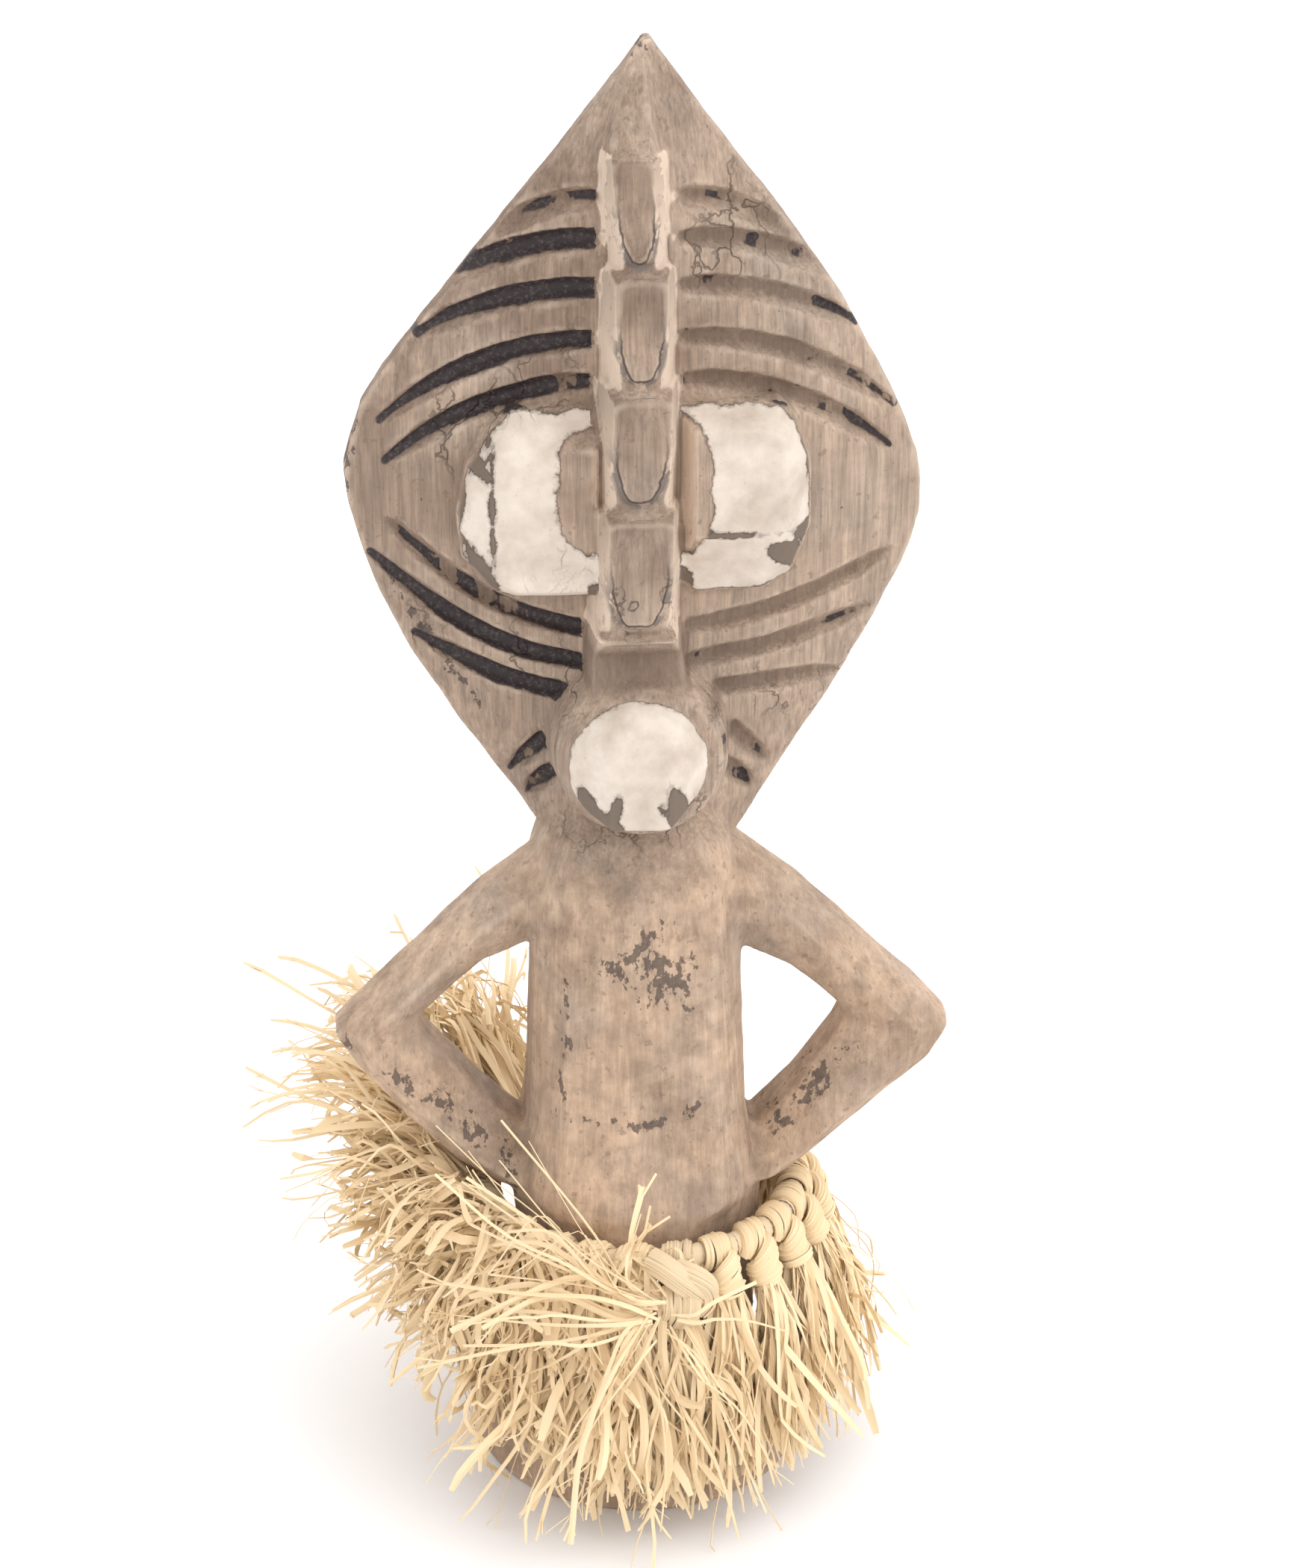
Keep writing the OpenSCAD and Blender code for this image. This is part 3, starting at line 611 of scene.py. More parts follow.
def strip_template():
    """One flat strip: four corners in section, many rings along it, closed at both ends.
    Gives each point's place along, across and up, and the faces."""
    select_only(frame["nodes"]["carved_figure"])
    bpy.ops.mesh.primitive_cylinder_add(vertices=4, radius=1, depth=1, end_fill_type="NGON", location=(0, 0, 0))
    strip = bpy.context.active_object
    long_edges = [abs(strip.data.vertices[e.vertices[0]].co.z - strip.data.vertices[e.vertices[1]].co.z) > 0.5
                  for e in strip.data.edges]
    bpy.ops.object.mode_set(mode="EDIT")
    bpy.ops.mesh.select_mode(type="EDGE")
    bpy.ops.mesh.select_all(action="DESELECT")
    bpy.ops.object.mode_set(mode="OBJECT")
    for edge, chosen in zip(strip.data.edges, long_edges):
        edge.select = chosen
    bpy.ops.object.mode_set(mode="EDIT")
    bpy.ops.mesh.subdivide(number_cuts=RINGS - 2)
    bpy.ops.object.mode_set(mode="OBJECT")
    co = np.array([v.co for v in strip.data.vertices])
    faces = [tuple(f.vertices) for f in strip.data.polygons]
    bpy.data.objects.remove(strip)
    ring = np.rint((co[:, 2] + 0.5) * (RINGS - 1)).astype(int)
    return ring, np.rint(co[:, 0]), np.rint(co[:, 1]), faces


def keep_inside(path, t):
    """Draws a strip's free part back where it would lie outside the room that the skirt takes."""
    for axis in range(3):
        low, high = SKIRT_ROOM[0][axis], SKIRT_ROOM[1][axis]
        path[:, axis:axis + 1] += t ** 2 * max(0.0, low - path[:, axis].min())
        path[:, axis:axis + 1] -= t ** 2 * max(0.0, path[:, axis].max() - high)
    path[:, 2] = np.maximum(path[:, 2], 1.4)
    return path


class Strips:
    """Gathers copies of the strip, each bent along its own path, into one mesh."""

    def __init__(self, seed):
        self.rng = np.random.default_rng(seed)
        self.points, self.faces, self.tone, self.run, self.side = [], [], [], [], []
        self.count = 0

    def lay(self, path, facing, width, thick=0.25, crease=0.0, turn=0.0, tone=None):
        """Bends one strip along path (RINGS points, in mm), its flat side facing the way given."""
        ring, u, h, faces = STRIP
        along = np.gradient(path, axis=0)
        along /= np.linalg.norm(along, axis=1)[:, None] + 1e-9
        side = np.cross(np.broadcast_to(facing, path.shape), along)
        side /= np.linalg.norm(side, axis=1)[:, None] + 1e-9
        up = np.cross(along, side)
        turn = np.broadcast_to(turn, RINGS)[:, None]
        side, up = side * np.cos(turn) + up * np.sin(turn), up * np.cos(turn) - side * np.sin(turn)
        width = np.broadcast_to(width, RINGS)
        co = (path[ring] + side[ring] * (u * width[ring] / 2)[:, None]
              + up[ring] * (h * thick / 2 + crease * (1 - np.abs(u)) * width[ring])[:, None])
        run = np.concatenate([[0], np.cumsum(np.linalg.norm(np.diff(path, axis=0), axis=1))])
        self.faces += [[self.count + v for v in face] for face in faces]
        self.count += len(co)
        self.points.append(co)
        self.tone.append(np.full(len(co), self.rng.random() if tone is None else tone))
        self.run.append(run[ring])
        self.side.append(u * width[ring] / 2 + h * thick)

    def hang(self, start, leave, arrive, tip, width, wobble=1.2, kink=0.2, facing=(0, -1, 0.4), split=0.35, **more):
        """One loose strip from start to tip, leaving and arriving in the directions given."""
        rng = self.rng
        t = np.linspace(0, 1, RINGS)[:, None]
        length = np.linalg.norm(tip - start)
        b, c = start + leave * length * 0.36, tip - arrive * length * 0.36
        path = (1 - t) ** 3 * start + 3 * (1 - t) ** 2 * t * b + 3 * (1 - t) * t ** 2 * c + t ** 3 * tip
        for share in (1.0, 0.45):
            sway = rng.normal(0, 1, 3) * wobble * share
            path += sway * t * np.sin(2 * np.pi * (t * rng.uniform(0.5, 1.0) / share + rng.random()))
        if rng.random() < kink:
            at = rng.uniform(0.35, 0.8)
            path += np.maximum(0, t - at) * length * np.clip(rng.normal(0, 0.5, 3), -0.8, 0.8) * (1, 1, 0.6)
        path = keep_inside(path, t)
        gathered = 0.6 + 0.4 * smooth(t[:, 0] / 0.18)
        end = 1 - 0.35 * smooth((t[:, 0] - 0.93) / 0.07)
        turn = rng.normal(0, 0.5) + rng.normal(0, 0.9) * t[:, 0]
        tone = more.pop("tone", rng.random())
        self.lay(path, facing, width * gathered * end, thick=rng.uniform(0.18, 0.3), crease=rng.uniform(-0.22, 0.3),
                 turn=turn, tone=tone)
        if rng.random() < split and width > 1:
            run = path[-1] - path[-3]
            run /= np.linalg.norm(run) + 1e-9
            for way in (-1, 1):
                splay = run + np.cross(run, facing) * way * rng.uniform(0.12, 0.4)
                bit = path[-2] + t * splay * rng.uniform(2.5, 5.5)
                bit[:, 2] = np.maximum(bit[:, 2], 0.5)
                self.lay(bit, facing, width * 0.36 * (1 - 0.5 * t[:, 0]), thick=0.2, turn=turn[-1], tone=tone)

    def bundle(self, path, out, half_wide, half_thick, count, arc=(-20, 200), width=None, tone=(0.25, 0.7)):
        """Strips laid side by side round an oval bundle that follows path; out points away from what it wraps."""
        rng = self.rng
        along = np.gradient(path, axis=0)
        along /= np.linalg.norm(along, axis=1)[:, None]
        across = np.cross(along, out)
        across /= np.linalg.norm(across, axis=1)[:, None]
        up = np.cross(across, along)
        width = width or 1.5 * (half_wide + half_thick) * np.radians(arc[1] - arc[0]) / np.pi / count * 2.0
        drift = np.linspace(-1, 1, len(path))
        for k in range(count):
            a = np.radians(lerp(arc[0], arc[1], (k + 0.5 + rng.uniform(-0.3, 0.3)) / count) + rng.normal(0, 9) * drift)
            out_by = rng.uniform(-0.2, 0.35)
            place = path + across * (np.cos(a) * (half_wide + out_by))[:, None] + up * (
                np.sin(a) * (half_thick + out_by))[:, None]
            facing = across * (np.cos(a) / half_wide)[:, None] + up * (np.sin(a) / half_thick)[:, None]
            facing /= np.linalg.norm(facing, axis=1)[:, None]
            self.lay(place, facing, width * rng.uniform(0.85, 1.15), thick=0.3, crease=rng.uniform(0.2, 0.4),
                     turn=rng.normal(0, 0.12), tone=rng.uniform(*tone))

    def piece(self, name, material, slot, *nodes):
        """Makes the mesh, and sets it in the frame in place of its CAD nodes."""
        mesh = bpy.data.meshes.new(name)
        mesh.from_pydata(np.concatenate(self.points) * MM, [], self.faces)
        obj = bpy.data.objects.new(name, mesh)
        bpy.context.collection.objects.link(obj)
        store(obj, "strip_tone", np.concatenate(self.tone))
        store(obj, "strip_run", np.concatenate(self.run) * MM)
        store(obj, "strip_side", np.concatenate(self.side) * MM)
        select_only(obj)
        bpy.ops.object.shade_smooth_by_angle(angle=math.radians(32))
        mesh.materials.append(material)
        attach(obj, "skirt")
        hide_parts(*nodes)
        return obj


def smooth_path(points, n=RINGS):
    """A rounded line of n points through the few points given."""
    points = np.array(points, float)
    t = np.linspace(0, len(points) - 1, n)
    k = np.minimum(t.astype(int), len(points) - 2)
    f = (t - k)[:, None]
    padded = np.concatenate([[2 * points[0] - points[1]], points, [2 * points[-1] - points[-2]]])
    a, b, c, d = (padded[k + i] for i in range(4))
    return 0.5 * (2 * b + (c - a) * f + (2 * a - 5 * b + 4 * c - d) * f ** 2 + (3 * b - a - 3 * c + d) * f ** 3)


def lift(deg):
    return max(0.0, math.cos(math.radians(deg - LIFT_DEG))) ** 2.5


def sway(deg):
    return max(0.0, math.cos(math.radians(deg - 10)))


def local(deg, out, along, z):
    """A place given by distance from the middle, shift along the cord, and height."""
    a = math.radians(deg)
    er, et = np.array([math.cos(a), math.sin(a), 0]), np.array([-math.sin(a), math.cos(a), 0])
    return (np.multiply.outer(np.asarray(out, float), er) + np.multiply.outer(np.asarray(along, float), et)
            + np.multiply.outer(np.asarray(z, float), np.array([0, 0, 1.0])))


def free_end(deg):
    """Where a tuft's free end lies: distance from the middle, and height."""
    up, sw = lift(deg), sway(deg)
    rise = max(0.0, math.cos(math.radians(deg - RISE_DEG))) ** 4
    return 52 + 38 * up + 6 * sw + 5 * rise, 16 + 78 * up + 15 * sw + 25 * rise


def strip_width(rng, share):
    kind = rng.random()
    low, high = (0.4, 0.8) if kind < 0.28 else (0.8, 1.5) if kind < 0.76 else (1.5, 2.7)
    return rng.uniform(low, high) * share


def hang_tuft(strips, deg, neck_out, neck_z, settings):
    """The loose strips of one tuft, from its neck to the free ends."""
    rng = strips.rng
    up, sw = lift(deg), sway(deg)
    end_out, end_z = free_end(deg)
    unruly = min(1.0, 1.5 * max(0.0, math.cos(math.radians(deg - RISE_DEG + 16))))
    facing = local(deg, 1, 0, 0.5)
    for _ in range(int(settings.strips * (1 + 0.35 * unruly))):
        layer = rng.random()
        aside = rng.uniform(-3, 3)
        start = local(deg, neck_out + rng.uniform(-2.4, 2.2), aside, neck_z + rng.uniform(-1.5, 1.5))
        reach = 1 - 0.34 * rng.random() ** 2 * (0.5 + unruly)
        tip_out = neck_out + (end_out + (layer - 0.55) * 15 + rng.normal(0, 2.6) - neck_out) * reach
        tip_z = neck_z + (end_z - 4 + rng.normal(0, 6 + 4 * unruly) + up * 30 * (layer - 0.5) - neck_z) * reach
        tip = local(deg, tip_out, aside * 1.8 + rng.normal(0, 6.0 + 4.0 * unruly), max(0.8, tip_z))
        leave = local(deg, 0.2 + 0.6 * layer + 1.2 * up, rng.normal(0, 0.22 + 0.2 * unruly), -1 + 1.15 * up)
        arrive = local(deg, 0.2 + 0.7 * up + 0.2 * sw, rng.normal(0, 0.3 + 0.4 * unruly), -1 + 0.7 * up)
        strips.hang(start, leave / np.linalg.norm(leave), arrive / np.linalg.norm(arrive), tip,
                    strip_width(rng, settings.strip_width), wobble=2.2 + 1.6 * unruly, kink=0.24 + 0.36 * unruly,
                    facing=facing)
    # strips that spring up over the cord before they fall
    for _ in range(int(settings.strips * 0.75 * unruly)):
        start = local(deg, WAIST_R + rng.uniform(-3, 5), rng.uniform(-4, 4), WAIST_Z + rng.uniform(-1, 5))
        tip = local(deg, end_out * rng.uniform(0.8, 1.12), rng.normal(0, 12),
                    min(WAIST_Z + 26, end_z + rng.uniform(2, 36)))
        leave = local(deg, rng.uniform(0.5, 1), rng.normal(0, 0.55), rng.uniform(0.1, 0.9))
        arrive = local(deg, 0.8, rng.normal(0, 0.5), rng.uniform(-0.9, 0))
        strips.hang(start, leave / np.linalg.norm(leave), arrive / np.linalg.norm(arrive), tip,
                    strip_width(rng, settings.strip_width), wobble=3.0, kink=0.5, facing=local(deg, 0.5, 0, 1))


def wind_hitch(strips, deg):
    """The fold of the tuft over the cord, and the turn round its neck that holds it."""
    up = lift(deg)
    rng = strips.rng
    a = np.radians(np.linspace(215, -38, RINGS))
    slant = rng.uniform(1.4, 3.0)
    fold = local(deg, WAIST_R + 3.7 * np.cos(a), np.linspace(slant, -slant, RINGS), WAIST_Z + 3.7 * np.sin(a))
    strips.bundle(fold, local(deg, np.cos(a), 0 * a, np.sin(a)), 3.1, 0.8, 12)
    axis = np.array([0.45 + 0.55 * up, -1 + 0.5 * up])
    axis /= np.linalg.norm(axis)
    face = np.array([-axis[1], axis[0]])
    neck = np.array([WAIST_R + 4.9, WAIST_Z - 3.8 + 4 * up]) + axis * 1.4
    for wide, down, reach, tilt in ((2.7, -1.4, 2.5, -2.6), (2.3, 2.2, 2.6, -0.5)):
        w = np.radians(np.linspace(-130, 130, RINGS))
        tilt += rng.uniform(-0.4, 0.4)
        shift = down + tilt * np.sin(w)
        out = neck[0] + reach * np.cos(w) * face[0] + shift * axis[0]
        z = neck[1] + reach * np.cos(w) * face[1] + shift * axis[1]
        turn = local(deg, out, 2.7 * np.sin(w), z)
        strips.bundle(turn, local(deg, np.cos(w) * face[0], np.sin(w), np.cos(w) * face[1]), wide, 1.5, 10)


def loose_ends(strips, count, points, spread, widths, split=0.5):
    """Long strips that leave the knot together and spread apart along the points given."""
    rng = strips.rng
    points = np.array(points, float)
    share_of_run = np.linspace(0, 1, RINGS)[:, None]
    for _ in range(count):
        share = np.linspace(0, 1, len(points))[:, None]
        apart = rng.normal(0, 1, 3) * spread * share ** 1.2 + rng.normal(0, 0.5, points.shape) * spread * share
        path = smooth_path(points + apart + rng.normal(0, 1.8, 3))
        path = keep_inside(path, share_of_run)
        width = rng.uniform(*widths)
        turn = rng.normal(0, 0.5) + rng.normal(0, 1.2) * np.linspace(0, 1, RINGS)
        tone = rng.random()
        if rng.random() < 0.4:
            at = rng.uniform(0.4, 0.8)
            path += np.maximum(0, share_of_run - at) * rng.normal(0, 16, 3)
            path = keep_inside(path, share_of_run)
        taper = 0.55 + 0.45 * smooth(np.linspace(0, 5, RINGS))
        strips.lay(path, (-0.1, -0.85, 0.5), width * taper, thick=0.25, crease=rng.uniform(-0.2, 0.3), turn=turn, tone=tone)
        if rng.random() < split:
            run = (path[-1] - path[-3]) / np.linalg.norm(path[-1] - path[-3])
            for way in (-1, 1):
                bit = path[-2] + np.linspace(0, 1, RINGS)[:, None] * (
                    run + np.cross(run, (0, -1, 0)) * way * rng.uniform(0.15, 0.5)) * rng.uniform(4, 9)
                strips.lay(bit, (0, -1, 0.3), width * 0.42, thick=0.2, turn=turn[-1], tone=tone)


def dry_raffia(name, pale, light, warm, dark):
    """Split palm leaf: glossy strips with fine fibres, each of its own shade."""
    material, n, shader = new_material(name)
    tone, run, side = (n.attribute(key) for key in ("strip_tone", "strip_run", "strip_side"))
    along = n.add("ShaderNodeCombineXYZ", {0: side, 1: n.math("MULTIPLY", run, 0.02), 2: n.math("MULTIPLY", tone, 3.0)})
    v = along.outputs[0]
    fibre = n.noise(v, 3600.0, 3.0, 0.6)
    stripe = n.noise(v, 1300.0, 2.0, 0.5)
    blotch = n.noise(n.add("ShaderNodeTexCoord").outputs["Object"], 110.0, 3.0, 0.55)
    base = n.mix(n.ramp(tone, 0.3, 1.0), rgb(light), rgb(warm))
    base = n.mix(n.ramp(tone, 0.24, 0.0, 0.0, 0.7), base, rgb(pale))
    base = n.mix(n.math("MULTIPLY", n.ramp(blotch, 0.5, 0.72), 0.45), base, rgb(warm))
    base = n.mix(n.ramp(fibre, 0.46, 0.3, 0.0, 0.3), base, rgb(dark))
    base = n.mix(n.ramp(stripe, 0.55, 0.72, 0.0, 0.3), base, rgb(light))
    n.feed(shader.inputs["Base Color"], base)
    n.feed(shader.inputs["Roughness"], n.ramp(fibre, 0.3, 0.7, 0.58, 0.42))
    shader.inputs["Specular IOR Level"].default_value = 0.35
    shader.inputs["Subsurface Weight"].default_value = 0.5
    shader.inputs["Subsurface Scale"].default_value = 1.5 * MM
    shader.inputs["Subsurface Radius"].default_value = (1.0, 0.7, 0.45)
    height = n.math("ADD", n.math("MULTIPLY", fibre, 0.12), n.math("MULTIPLY", stripe, 0.2))
    bump = n.add("ShaderNodeBump", {"Height": height, "Strength": 0.7, "Distance": MM})
    n.feed(shader.inputs["Normal"], bump.outputs[0])
    return material


def wound_cord(strips, turns):
    """The waist cord's wrapping, turn by turn round the loop."""
    rng = strips.rng
    for k in range(turns):
        t = np.linspace(0, 1, RINGS)
        around = np.radians(lerp(-130, 245, t))
        loop = 2 * np.pi * (k + rng.uniform(-0.15, 0.15)) / turns + (t - 0.5) * rng.uniform(0.05, 0.13)
        r = CORD_R - 0.45 + 0.35 * t + rng.uniform(-0.05, 0.15)
        ring = WAIST_R + r * np.cos(around)
        path = np.stack([ring * np.cos(loop), ring * np.sin(loop), WAIST_Z + r * np.sin(around)], 1)
        facing = np.stack([np.cos(around) * np.cos(loop), np.cos(around) * np.sin(loop), np.sin(around)], 1)
        strips.lay(path, facing, 2 * np.pi * WAIST_R / turns * 1.25, thick=0.35, crease=0.08, turn=0.12,
                   tone=rng.uniform(0.2, 0.6))


def knot_bundles(strips, deg, out, z):
    """The overhand knot: one bundle comes down from the cord, one turns round the right side,
    and one passes over the front and is drawn in below."""
    def run(points):
        p = smooth_path([local(deg, out + o, x, z + h) for x, o, h in points])
        inner = local(deg, out - 4, 0, z - 0.5)
        return p, p - inner
    strips.bundle(*run([(-8.4, -3, 8.6), (-5.2, 0.5, 7.4), (-1, 2.6, 4), (2.6, 2.4, 0.2), (4.6, -0.4, -3)]), 2.7, 1.9, 14)
    strips.bundle(*run([(-2.2, -1, 5.8), (1.6, 1.8, 5), (5.2, 2.2, 1.8), (6.0, 1.6, -2.6), (3.6, 0.6, -6.2)]), 2.3, 1.9, 13)
    strips.bundle(*run([(-1.0, 0.6, 1.8), (-1.6, 3.8, -1.4), (-2.0, 3.9, -4.6), (-2.4, 0.8, -8.4)]), 4.3, 1.5, 16)
    strips.bundle(*run([(-9.4, -2.6, -1.4), (-5.6, 0.4, -3.2), (-2.2, 0.6, -3.6), (2.4, 0.2, -3.4)]), 2.1, 1.6, 11)


# ---------------------------------------------------------------- what a user may change

def colour_property(name, description, default):
    return FloatVectorProperty(name=name, description=description, subtype="COLOR", size=3, min=0, max=1,
                               default=default)


class CarvingSettings(bpy.types.PropertyGroup):
    grid: FloatProperty(name="Carving grid", description="Size of the grid that the hewn surface is made on",
                        unit="LENGTH", default=0.0008, min=0.0005, max=0.003)
    faces: IntProperty(name="Faces", description="Triangles kept on the carving", default=190000, min=20000)
    handling: IntProperty(name="Handling", description="How much the body's facets are rounded off",
                          default=14, min=0, max=80)
    tool_marks: FloatProperty(name="Tool marks", description="Depth of the shallow marks that tools left",
                              unit="LENGTH", default=0.0007, min=0, max=0.003)
    wood: colour_property("Wood", "Weathered wood", (0.55, 0.395, 0.28))
    wood_dark: colour_property("Wood, dark", "Darker wood between the light streaks", (0.35, 0.245, 0.17))
    wood_grey: colour_property("Wood, grey", "Greyed wood", (0.36, 0.29, 0.235))
    patina: colour_property("Patina", "Browner wood on the face's right side", (0.21, 0.145, 0.105))
    wood_worn: colour_property("Wood, worn", "Rubbed edges", (0.72, 0.58, 0.46))
    # dark grime and flecks, also used as painted shade under the ridge's ledges and foot, under the head board, in the
    # grooves and in the hollows
    grime_and_painted_shade: colour_property("Wood, in hollows", "Grime, and painted shade in hollows and under ledges", (0.14, 0.093, 0.065))
    crack: colour_property("Crack", "Inside of a crack", (0.05, 0.035, 0.03))
    ridge_paint: colour_property("Ridge paint", "Grey remains on the ridge", (0.15, 0.125, 0.11))
    black: colour_property("Black paint", "Black in the grooves", (0.035, 0.026, 0.026))
    black_dusty: colour_property("Black paint, dusty", "Dust on the black", (0.15, 0.12, 0.115))
    ground: colour_property("Under the white", "What shows where white has flaked", (0.15, 0.115, 0.09))
    white: colour_property("White paint", "White on the eyes and mouth", (0.69, 0.61, 0.53))
    white_dirty: colour_property("White paint, dirty", "Dirt on the white", (0.45, 0.37, 0.295))


class SkirtSettings(bpy.types.PropertyGroup):
    strips: IntProperty(name="Strips in a tuft", description="How many loose strips hang from each hitch",
                        default=92, min=8, max=140)
    strip_width: FloatProperty(name="Strip width", description="Share of the usual strip width", default=1.0,
                               min=0.3, max=2)
    turns: IntProperty(name="Turns of the cord's wrapping", description="How often a strip winds round the waist cord",
                       default=84, min=30, max=140)
    bleached: colour_property("Bleached", "Bleached strips", (1.0, 0.66, 0.42))
    straw: colour_property("Straw", "Palest strips", (1.0, 0.50, 0.26))
    tan: colour_property("Tan", "Warmest strips", (1.0, 0.36, 0.14))
    shade: colour_property("Fibre shade", "Dark lines between fibres", (0.60, 0.25, 0.10))
    cord: colour_property("Cord", "Wrapped cord and knots", (0.76, 0.42, 0.23))
    cord_tan: colour_property("Cord, warm", "Warmer turns of the cord and knots", (0.56, 0.31, 0.155))


class StageSettings(bpy.types.PropertyGroup):
    floor: colour_property("Floor", "Pale studio floor", (0.93, 0.925, 0.93))
    fill: FloatProperty(name="Fill light", description="Strength of the light from all round", default=1.26, min=0)
    aside: FloatProperty(name="Light from the right", description="How much stronger it is from the right",
                         default=0.2, min=0, max=0.6)
    overhead: FloatProperty(name="Overhead light", description="How much stronger it is straight above", default=0.35,
                            min=0)
    key: FloatProperty(name="Key light", description="Strength of the soft light from the upper right", default=0.45,
                       min=0)


# ---------------------------------------------------------------- operators

class CARVED_OT_figure(bpy.types.Operator):
    """Carve the figure: the hewn block, its hollowed ridge, and its worn paint"""
    bl_idname = "object.carved_figure"
    bl_label = "Carve the Figure"

    def execute(self, context):
        settings = context.scene.carving
        for build in (grain_group, flake_group, fleck_group):
            build()
        node = frame["nodes"]["carved_figure"]
        select_only(node)
        bpy.ops.object.duplicate()
        block = context.view_layer.objects.active
        block.name = "hewn_figure"
        block.parent = None
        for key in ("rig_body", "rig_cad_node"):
            del block[key]
        block.data = block.data.copy()
        block.data.name = "hewn_figure"
        bpy.ops.object.mode_set(mode="EDIT")
        bpy.ops.mesh.select_all(action="SELECT")
        bpy.ops.mesh.remove_doubles(threshold=1e-6)
        bpy.ops.object.mode_set(mode="OBJECT")
        block.data.materials.clear()
        apply_modifier(block, "REMESH", "carving grid", mode="VOXEL", voxel_size=settings.grid)
        points = scoop_ridge(points_of(block))
        handled = smooth((NECK - 2 - points[:, 2]) / 8) * smooth((points[:, 2] - 60) / 12)
        handled *= lerp(0.2, 1, smooth((30 - np.abs(points[:, 0])) / 6))
        belly = np.clip(1 - (np.abs(points[:, 0] + 1) / 24) ** 2, 0, 1) * handled * (points[:, 1] < -8)
        points[:, 1] -= 1.4 * belly
        set_points(block, soften(block, points, 0.08 + 0.5 * handled, settings.handling))
        apply_modifier(block, "SMOOTH", "worn edges", factor=0.5, iterations=2)
        marks = bpy.data.textures.new("tool_marks", "CLOUDS")
        marks.noise_scale = 0.011
        marks.noise_depth = 1
        apply_modifier(block, "DISPLACE", "tool marks", texture=marks, texture_coords="OBJECT",
                       strength=settings.tool_marks, mid_level=0.5)
        triangles = sum(len(f.vertices) - 2 for f in block.data.polygons)
        apply_modifier(block, "DECIMATE", "fewer faces", ratio=min(1, settings.faces / triangles))
        select_only(block)
        bpy.ops.object.shade_smooth()
        carving_marks(block)
        block.data.materials.append(carved_wood())
        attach(block, "figure")
        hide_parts("carved_figure")
        return {"FINISHED"}


class CARVED_OT_waist_cord(bpy.types.Operator):
    """Wind the waist cord round its core"""
    bl_idname = "object.carved_waist_cord"
    bl_label = "Wind the Waist Cord"

    def execute(self, context):
        settings = context.scene.skirt
        strips = Strips(4)
        wound_cord(strips, settings.turns)
        cord = strips.piece("wound_waist_cord", skirt_material("waist_cord"), "waist_cord", "waist_cord")
        select_only(cord)
        bpy.ops.mesh.primitive_torus_add(major_segments=96, minor_segments=12, major_radius=WAIST_R * MM,
                                         minor_radius=(CORD_R - 0.5) * MM, location=(0, 0, WAIST_Z * MM))
        core = context.active_object
        bpy.ops.object.transform_apply(location=True, rotation=True, scale=True)
        select_only(cord, core)
        bpy.ops.object.join()
        return {"FINISHED"}


class CARVED_OT_tufts(bpy.types.Operator):
    """Hitch the tufts onto the cord, each with its loose strips"""
    bl_idname = "object.carved_tufts"
    bl_label = "Hitch the Tufts"

    def execute(self, context):
        settings = context.scene.skirt
        for i, node in enumerate(TUFTS, 1):
            strips = Strips(100 + i)
            deg = TIE_DEG + SLOT_DEG * i
            hang_tuft(strips, deg, WAIST_R + 6.6, WAIST_Z - 7 + 4 * lift(deg), settings)
            wind_hitch(strips, deg)
            strips.piece("hitched_" + node, skirt_material("raffia"), "raffia", node)
        return {"FINISHED"}


class CARVED_OT_tie(bpy.types.Operator):
    """Tie the cord in front and let its ends lie over the tufts"""
    bl_idname = "object.carved_tie"
    bl_label = "Tie the Cord"

    def execute(self, context):
        settings = context.scene.skirt
        knot = Strips(31)
        wind_hitch(knot, TIE_DEG)
        knot_bundles(knot, TIE_DEG, WAIST_R + 8.4, WAIST_Z - 4)
        knot.piece("tied_knot", skirt_material("waist_cord"), "waist_cord", "tie_knot")

        fall = Strips(32)
        hang_tuft(fall, TIE_DEG, WAIST_R + 7, WAIST_Z - 11, settings)
        fall.piece("strips_below_the_knot", skirt_material("raffia"), "raffia", "tie_fall")

        upper = Strips(33)
        loose_ends(upper, 9, [(-1, -55, 73), (-9, -57, 78), (-24, -55, 92), (-44, -47, 111)], 5, (0.3, 0.9), 0.1)
        loose_ends(upper, 9, [(-1, -56, 71), (-10, -58, 76), (-28, -57, 84), (-48, -50, 80)], 8, (0.6, 1.8))
        loose_ends(upper, 3, [(-1, -56, 72), (-9, -58, 74), (-9, -57, 84), (-3, -55, 95)], 1.5, (1.4, 2.4), 1)
        loose_ends(upper, 3, [(-1, -56, 72), (-12, -58, 80), (-23, -56, 98), (-32, -55, 88)], 3, (0.9, 1.6), 0)
        upper.piece("loose_ends_above", skirt_material("raffia"), "raffia", "tie_end_upper")

        lower = Strips(34)
        loose_ends(lower, 6, [(-1, -58, 69), (-12, -63, 68), (-26, -61, 62), (-42, -52, 50)], 8, (0.6, 1.8))
        loose_ends(lower, 5, [(-2, -58, 68), (-10, -64, 62), (-18, -66, 46), (-26, -63, 32)], 7, (0.6, 1.8))
        loose_ends(lower, 4, [(-2, -58, 68), (-9, -65, 60), (-12, -67, 40), (-8, -68, 20)], 6, (0.6, 1.8))
        loose_ends(lower, 2, [(4, -57, 69), (10, -60, 70), (16, -58, 71), (22, -55, 72)], 1.5, (1.0, 1.8), 0)
        loose_ends(lower, 5, [(4, -58, 64), (10, -62, 54), (17, -65, 36), (24, -65, 18)], 7, (0.5, 1.6))
        lower.piece("loose_ends_below", skirt_material("raffia"), "raffia", "tie_end_lower")
        return {"FINISHED"}


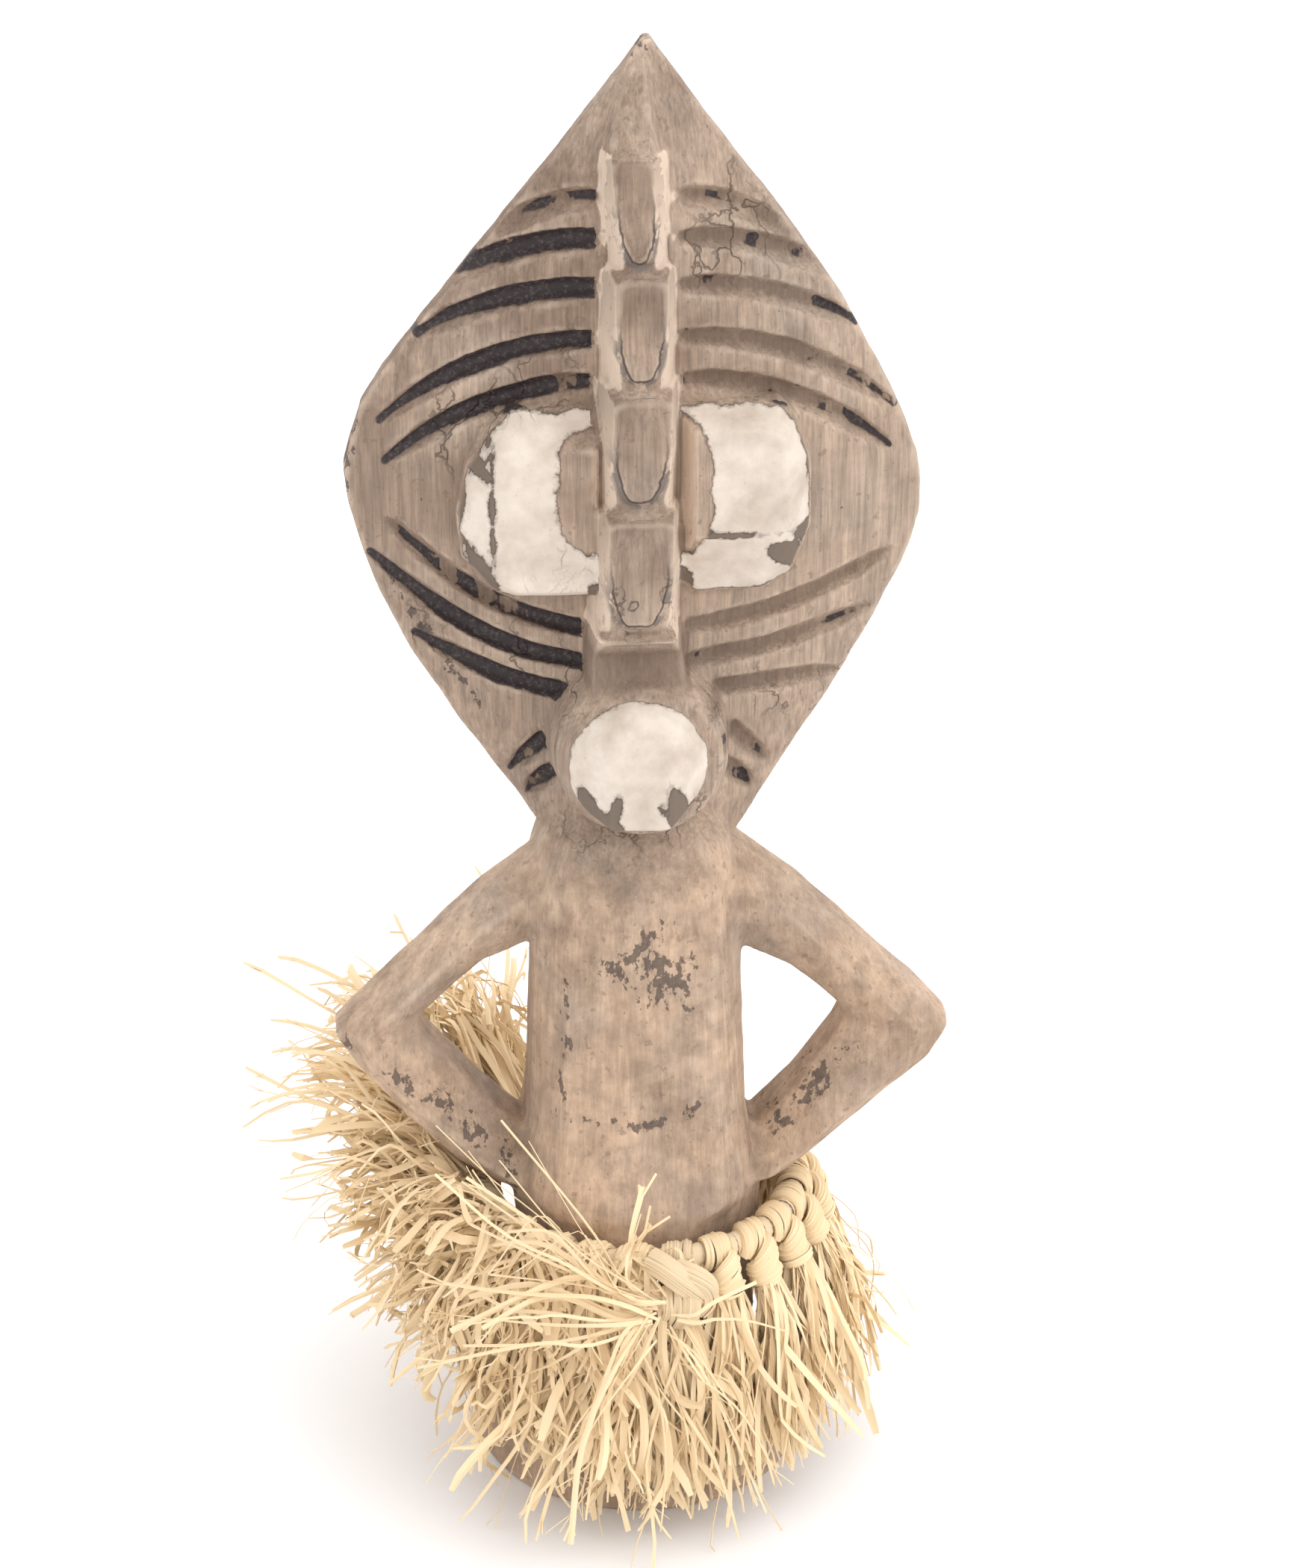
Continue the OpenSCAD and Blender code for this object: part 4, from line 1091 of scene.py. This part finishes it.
def skirt_material(name):
    """The raffia or the cord's material, made when it is first asked for."""
    settings = bpy.context.scene.skirt
    if name not in bpy.data.materials:
        if name == "raffia":
            dry_raffia(name, settings.bleached, settings.straw, settings.tan, settings.shade)
        else:
            dry_raffia(name, settings.straw, settings.cord, settings.cord_tan, settings.shade)
    return bpy.data.materials[name]


class CARVED_OT_stage(bpy.types.Operator):
    """Set the pale floor, the soft lights and the camera"""
    bl_idname = "object.carved_stage"
    bl_label = "Set the Stage"

    def execute(self, context):
        settings = context.scene.stage
        select_only(frame["nodes"]["carved_figure"])
        bpy.ops.mesh.primitive_plane_add(size=6, location=(0, 0, 0))
        floor = context.active_object
        floor.name = "studio_floor"
        material, n, shader = new_material("studio_paper")
        shader.inputs["Base Color"].default_value = rgb(settings.floor)
        shader.inputs["Roughness"].default_value = 0.9
        floor.data.materials.append(material)

        world = bpy.data.worlds.new("studio")
        world.use_nodes = True
        context.scene.world = world
        n = Nodes(world.node_tree)
        way = n.add("ShaderNodeSeparateXYZ", {0: n.add("ShaderNodeTexCoord").outputs["Generated"]})
        height, aside = way.outputs["Z"], way.outputs["X"]
        overhead = n.math("MULTIPLY_ADD", n.math("POWER", n.math("MAXIMUM", height, 0.0), 2.0), settings.overhead,
                          settings.fill)
        strength = n.math("MULTIPLY_ADD", aside, settings.aside, overhead)
        n.feed(world.node_tree.nodes["Background"].inputs["Strength"], strength)
        world.node_tree.nodes["Background"].inputs["Color"].default_value = (1.0, 0.99, 0.99, 1)

        bpy.ops.object.light_add(type="SUN", location=(0.8, -0.3, 1.2))
        light = context.active_object
        light.name = "soft_key_light"
        light.data.energy = settings.key
        light.data.angle = math.radians(42)
        light.rotation_euler = Vector((-0.72, 0.34, -1.0)).to_track_quat("-Z", "Y").to_euler()

        bpy.ops.object.camera_add(location=(-0.07545, -0.89684, 0.598))
        camera = context.active_object
        camera.name = "camera"
        camera.rotation_euler = Euler((math.radians(90 - 24.395), 0, math.radians(-5)))
        camera.data.lens = 90.2
        camera.data.sensor_width = 36
        context.scene.camera = camera
        context.scene.view_settings.view_transform = "Standard"
        return {"FINISHED"}


class VIEW3D_PT_carved_figure(bpy.types.Panel):
    """Lists the steps that build the figure"""
    bl_idname = "VIEW3D_PT_carved_figure"
    bl_label = "Carved Figure"
    bl_space_type = "VIEW_3D"
    bl_region_type = "UI"
    bl_category = "Carved Figure"

    def draw(self, context):
        for operator in STEPS:
            self.layout.operator(operator.bl_idname)
        for group in (context.scene.carving, context.scene.skirt, context.scene.stage):
            for name in group.__annotations__:
                self.layout.prop(group, name)


STEPS = (CARVED_OT_figure, CARVED_OT_waist_cord, CARVED_OT_tufts, CARVED_OT_tie, CARVED_OT_stage)
CLASSES = (CarvingSettings, SkirtSettings, StageSettings, *STEPS, VIEW3D_PT_carved_figure)


def register():
    for cls in CLASSES:
        bpy.utils.register_class(cls)
    bpy.types.Scene.carving = PointerProperty(type=CarvingSettings)
    bpy.types.Scene.skirt = PointerProperty(type=SkirtSettings)
    bpy.types.Scene.stage = PointerProperty(type=StageSettings)


def unregister():
    del bpy.types.Scene.carving
    del bpy.types.Scene.skirt
    del bpy.types.Scene.stage
    for cls in reversed(CLASSES):
        bpy.utils.unregister_class(cls)


def main():
    global STRIP
    register()
    STRIP = strip_template()
    bpy.ops.object.carved_stage()
    bpy.ops.object.carved_figure()
    bpy.ops.object.carved_waist_cord()
    bpy.ops.object.carved_tufts()
    bpy.ops.object.carved_tie()


if __name__ == "__main__":
    main()
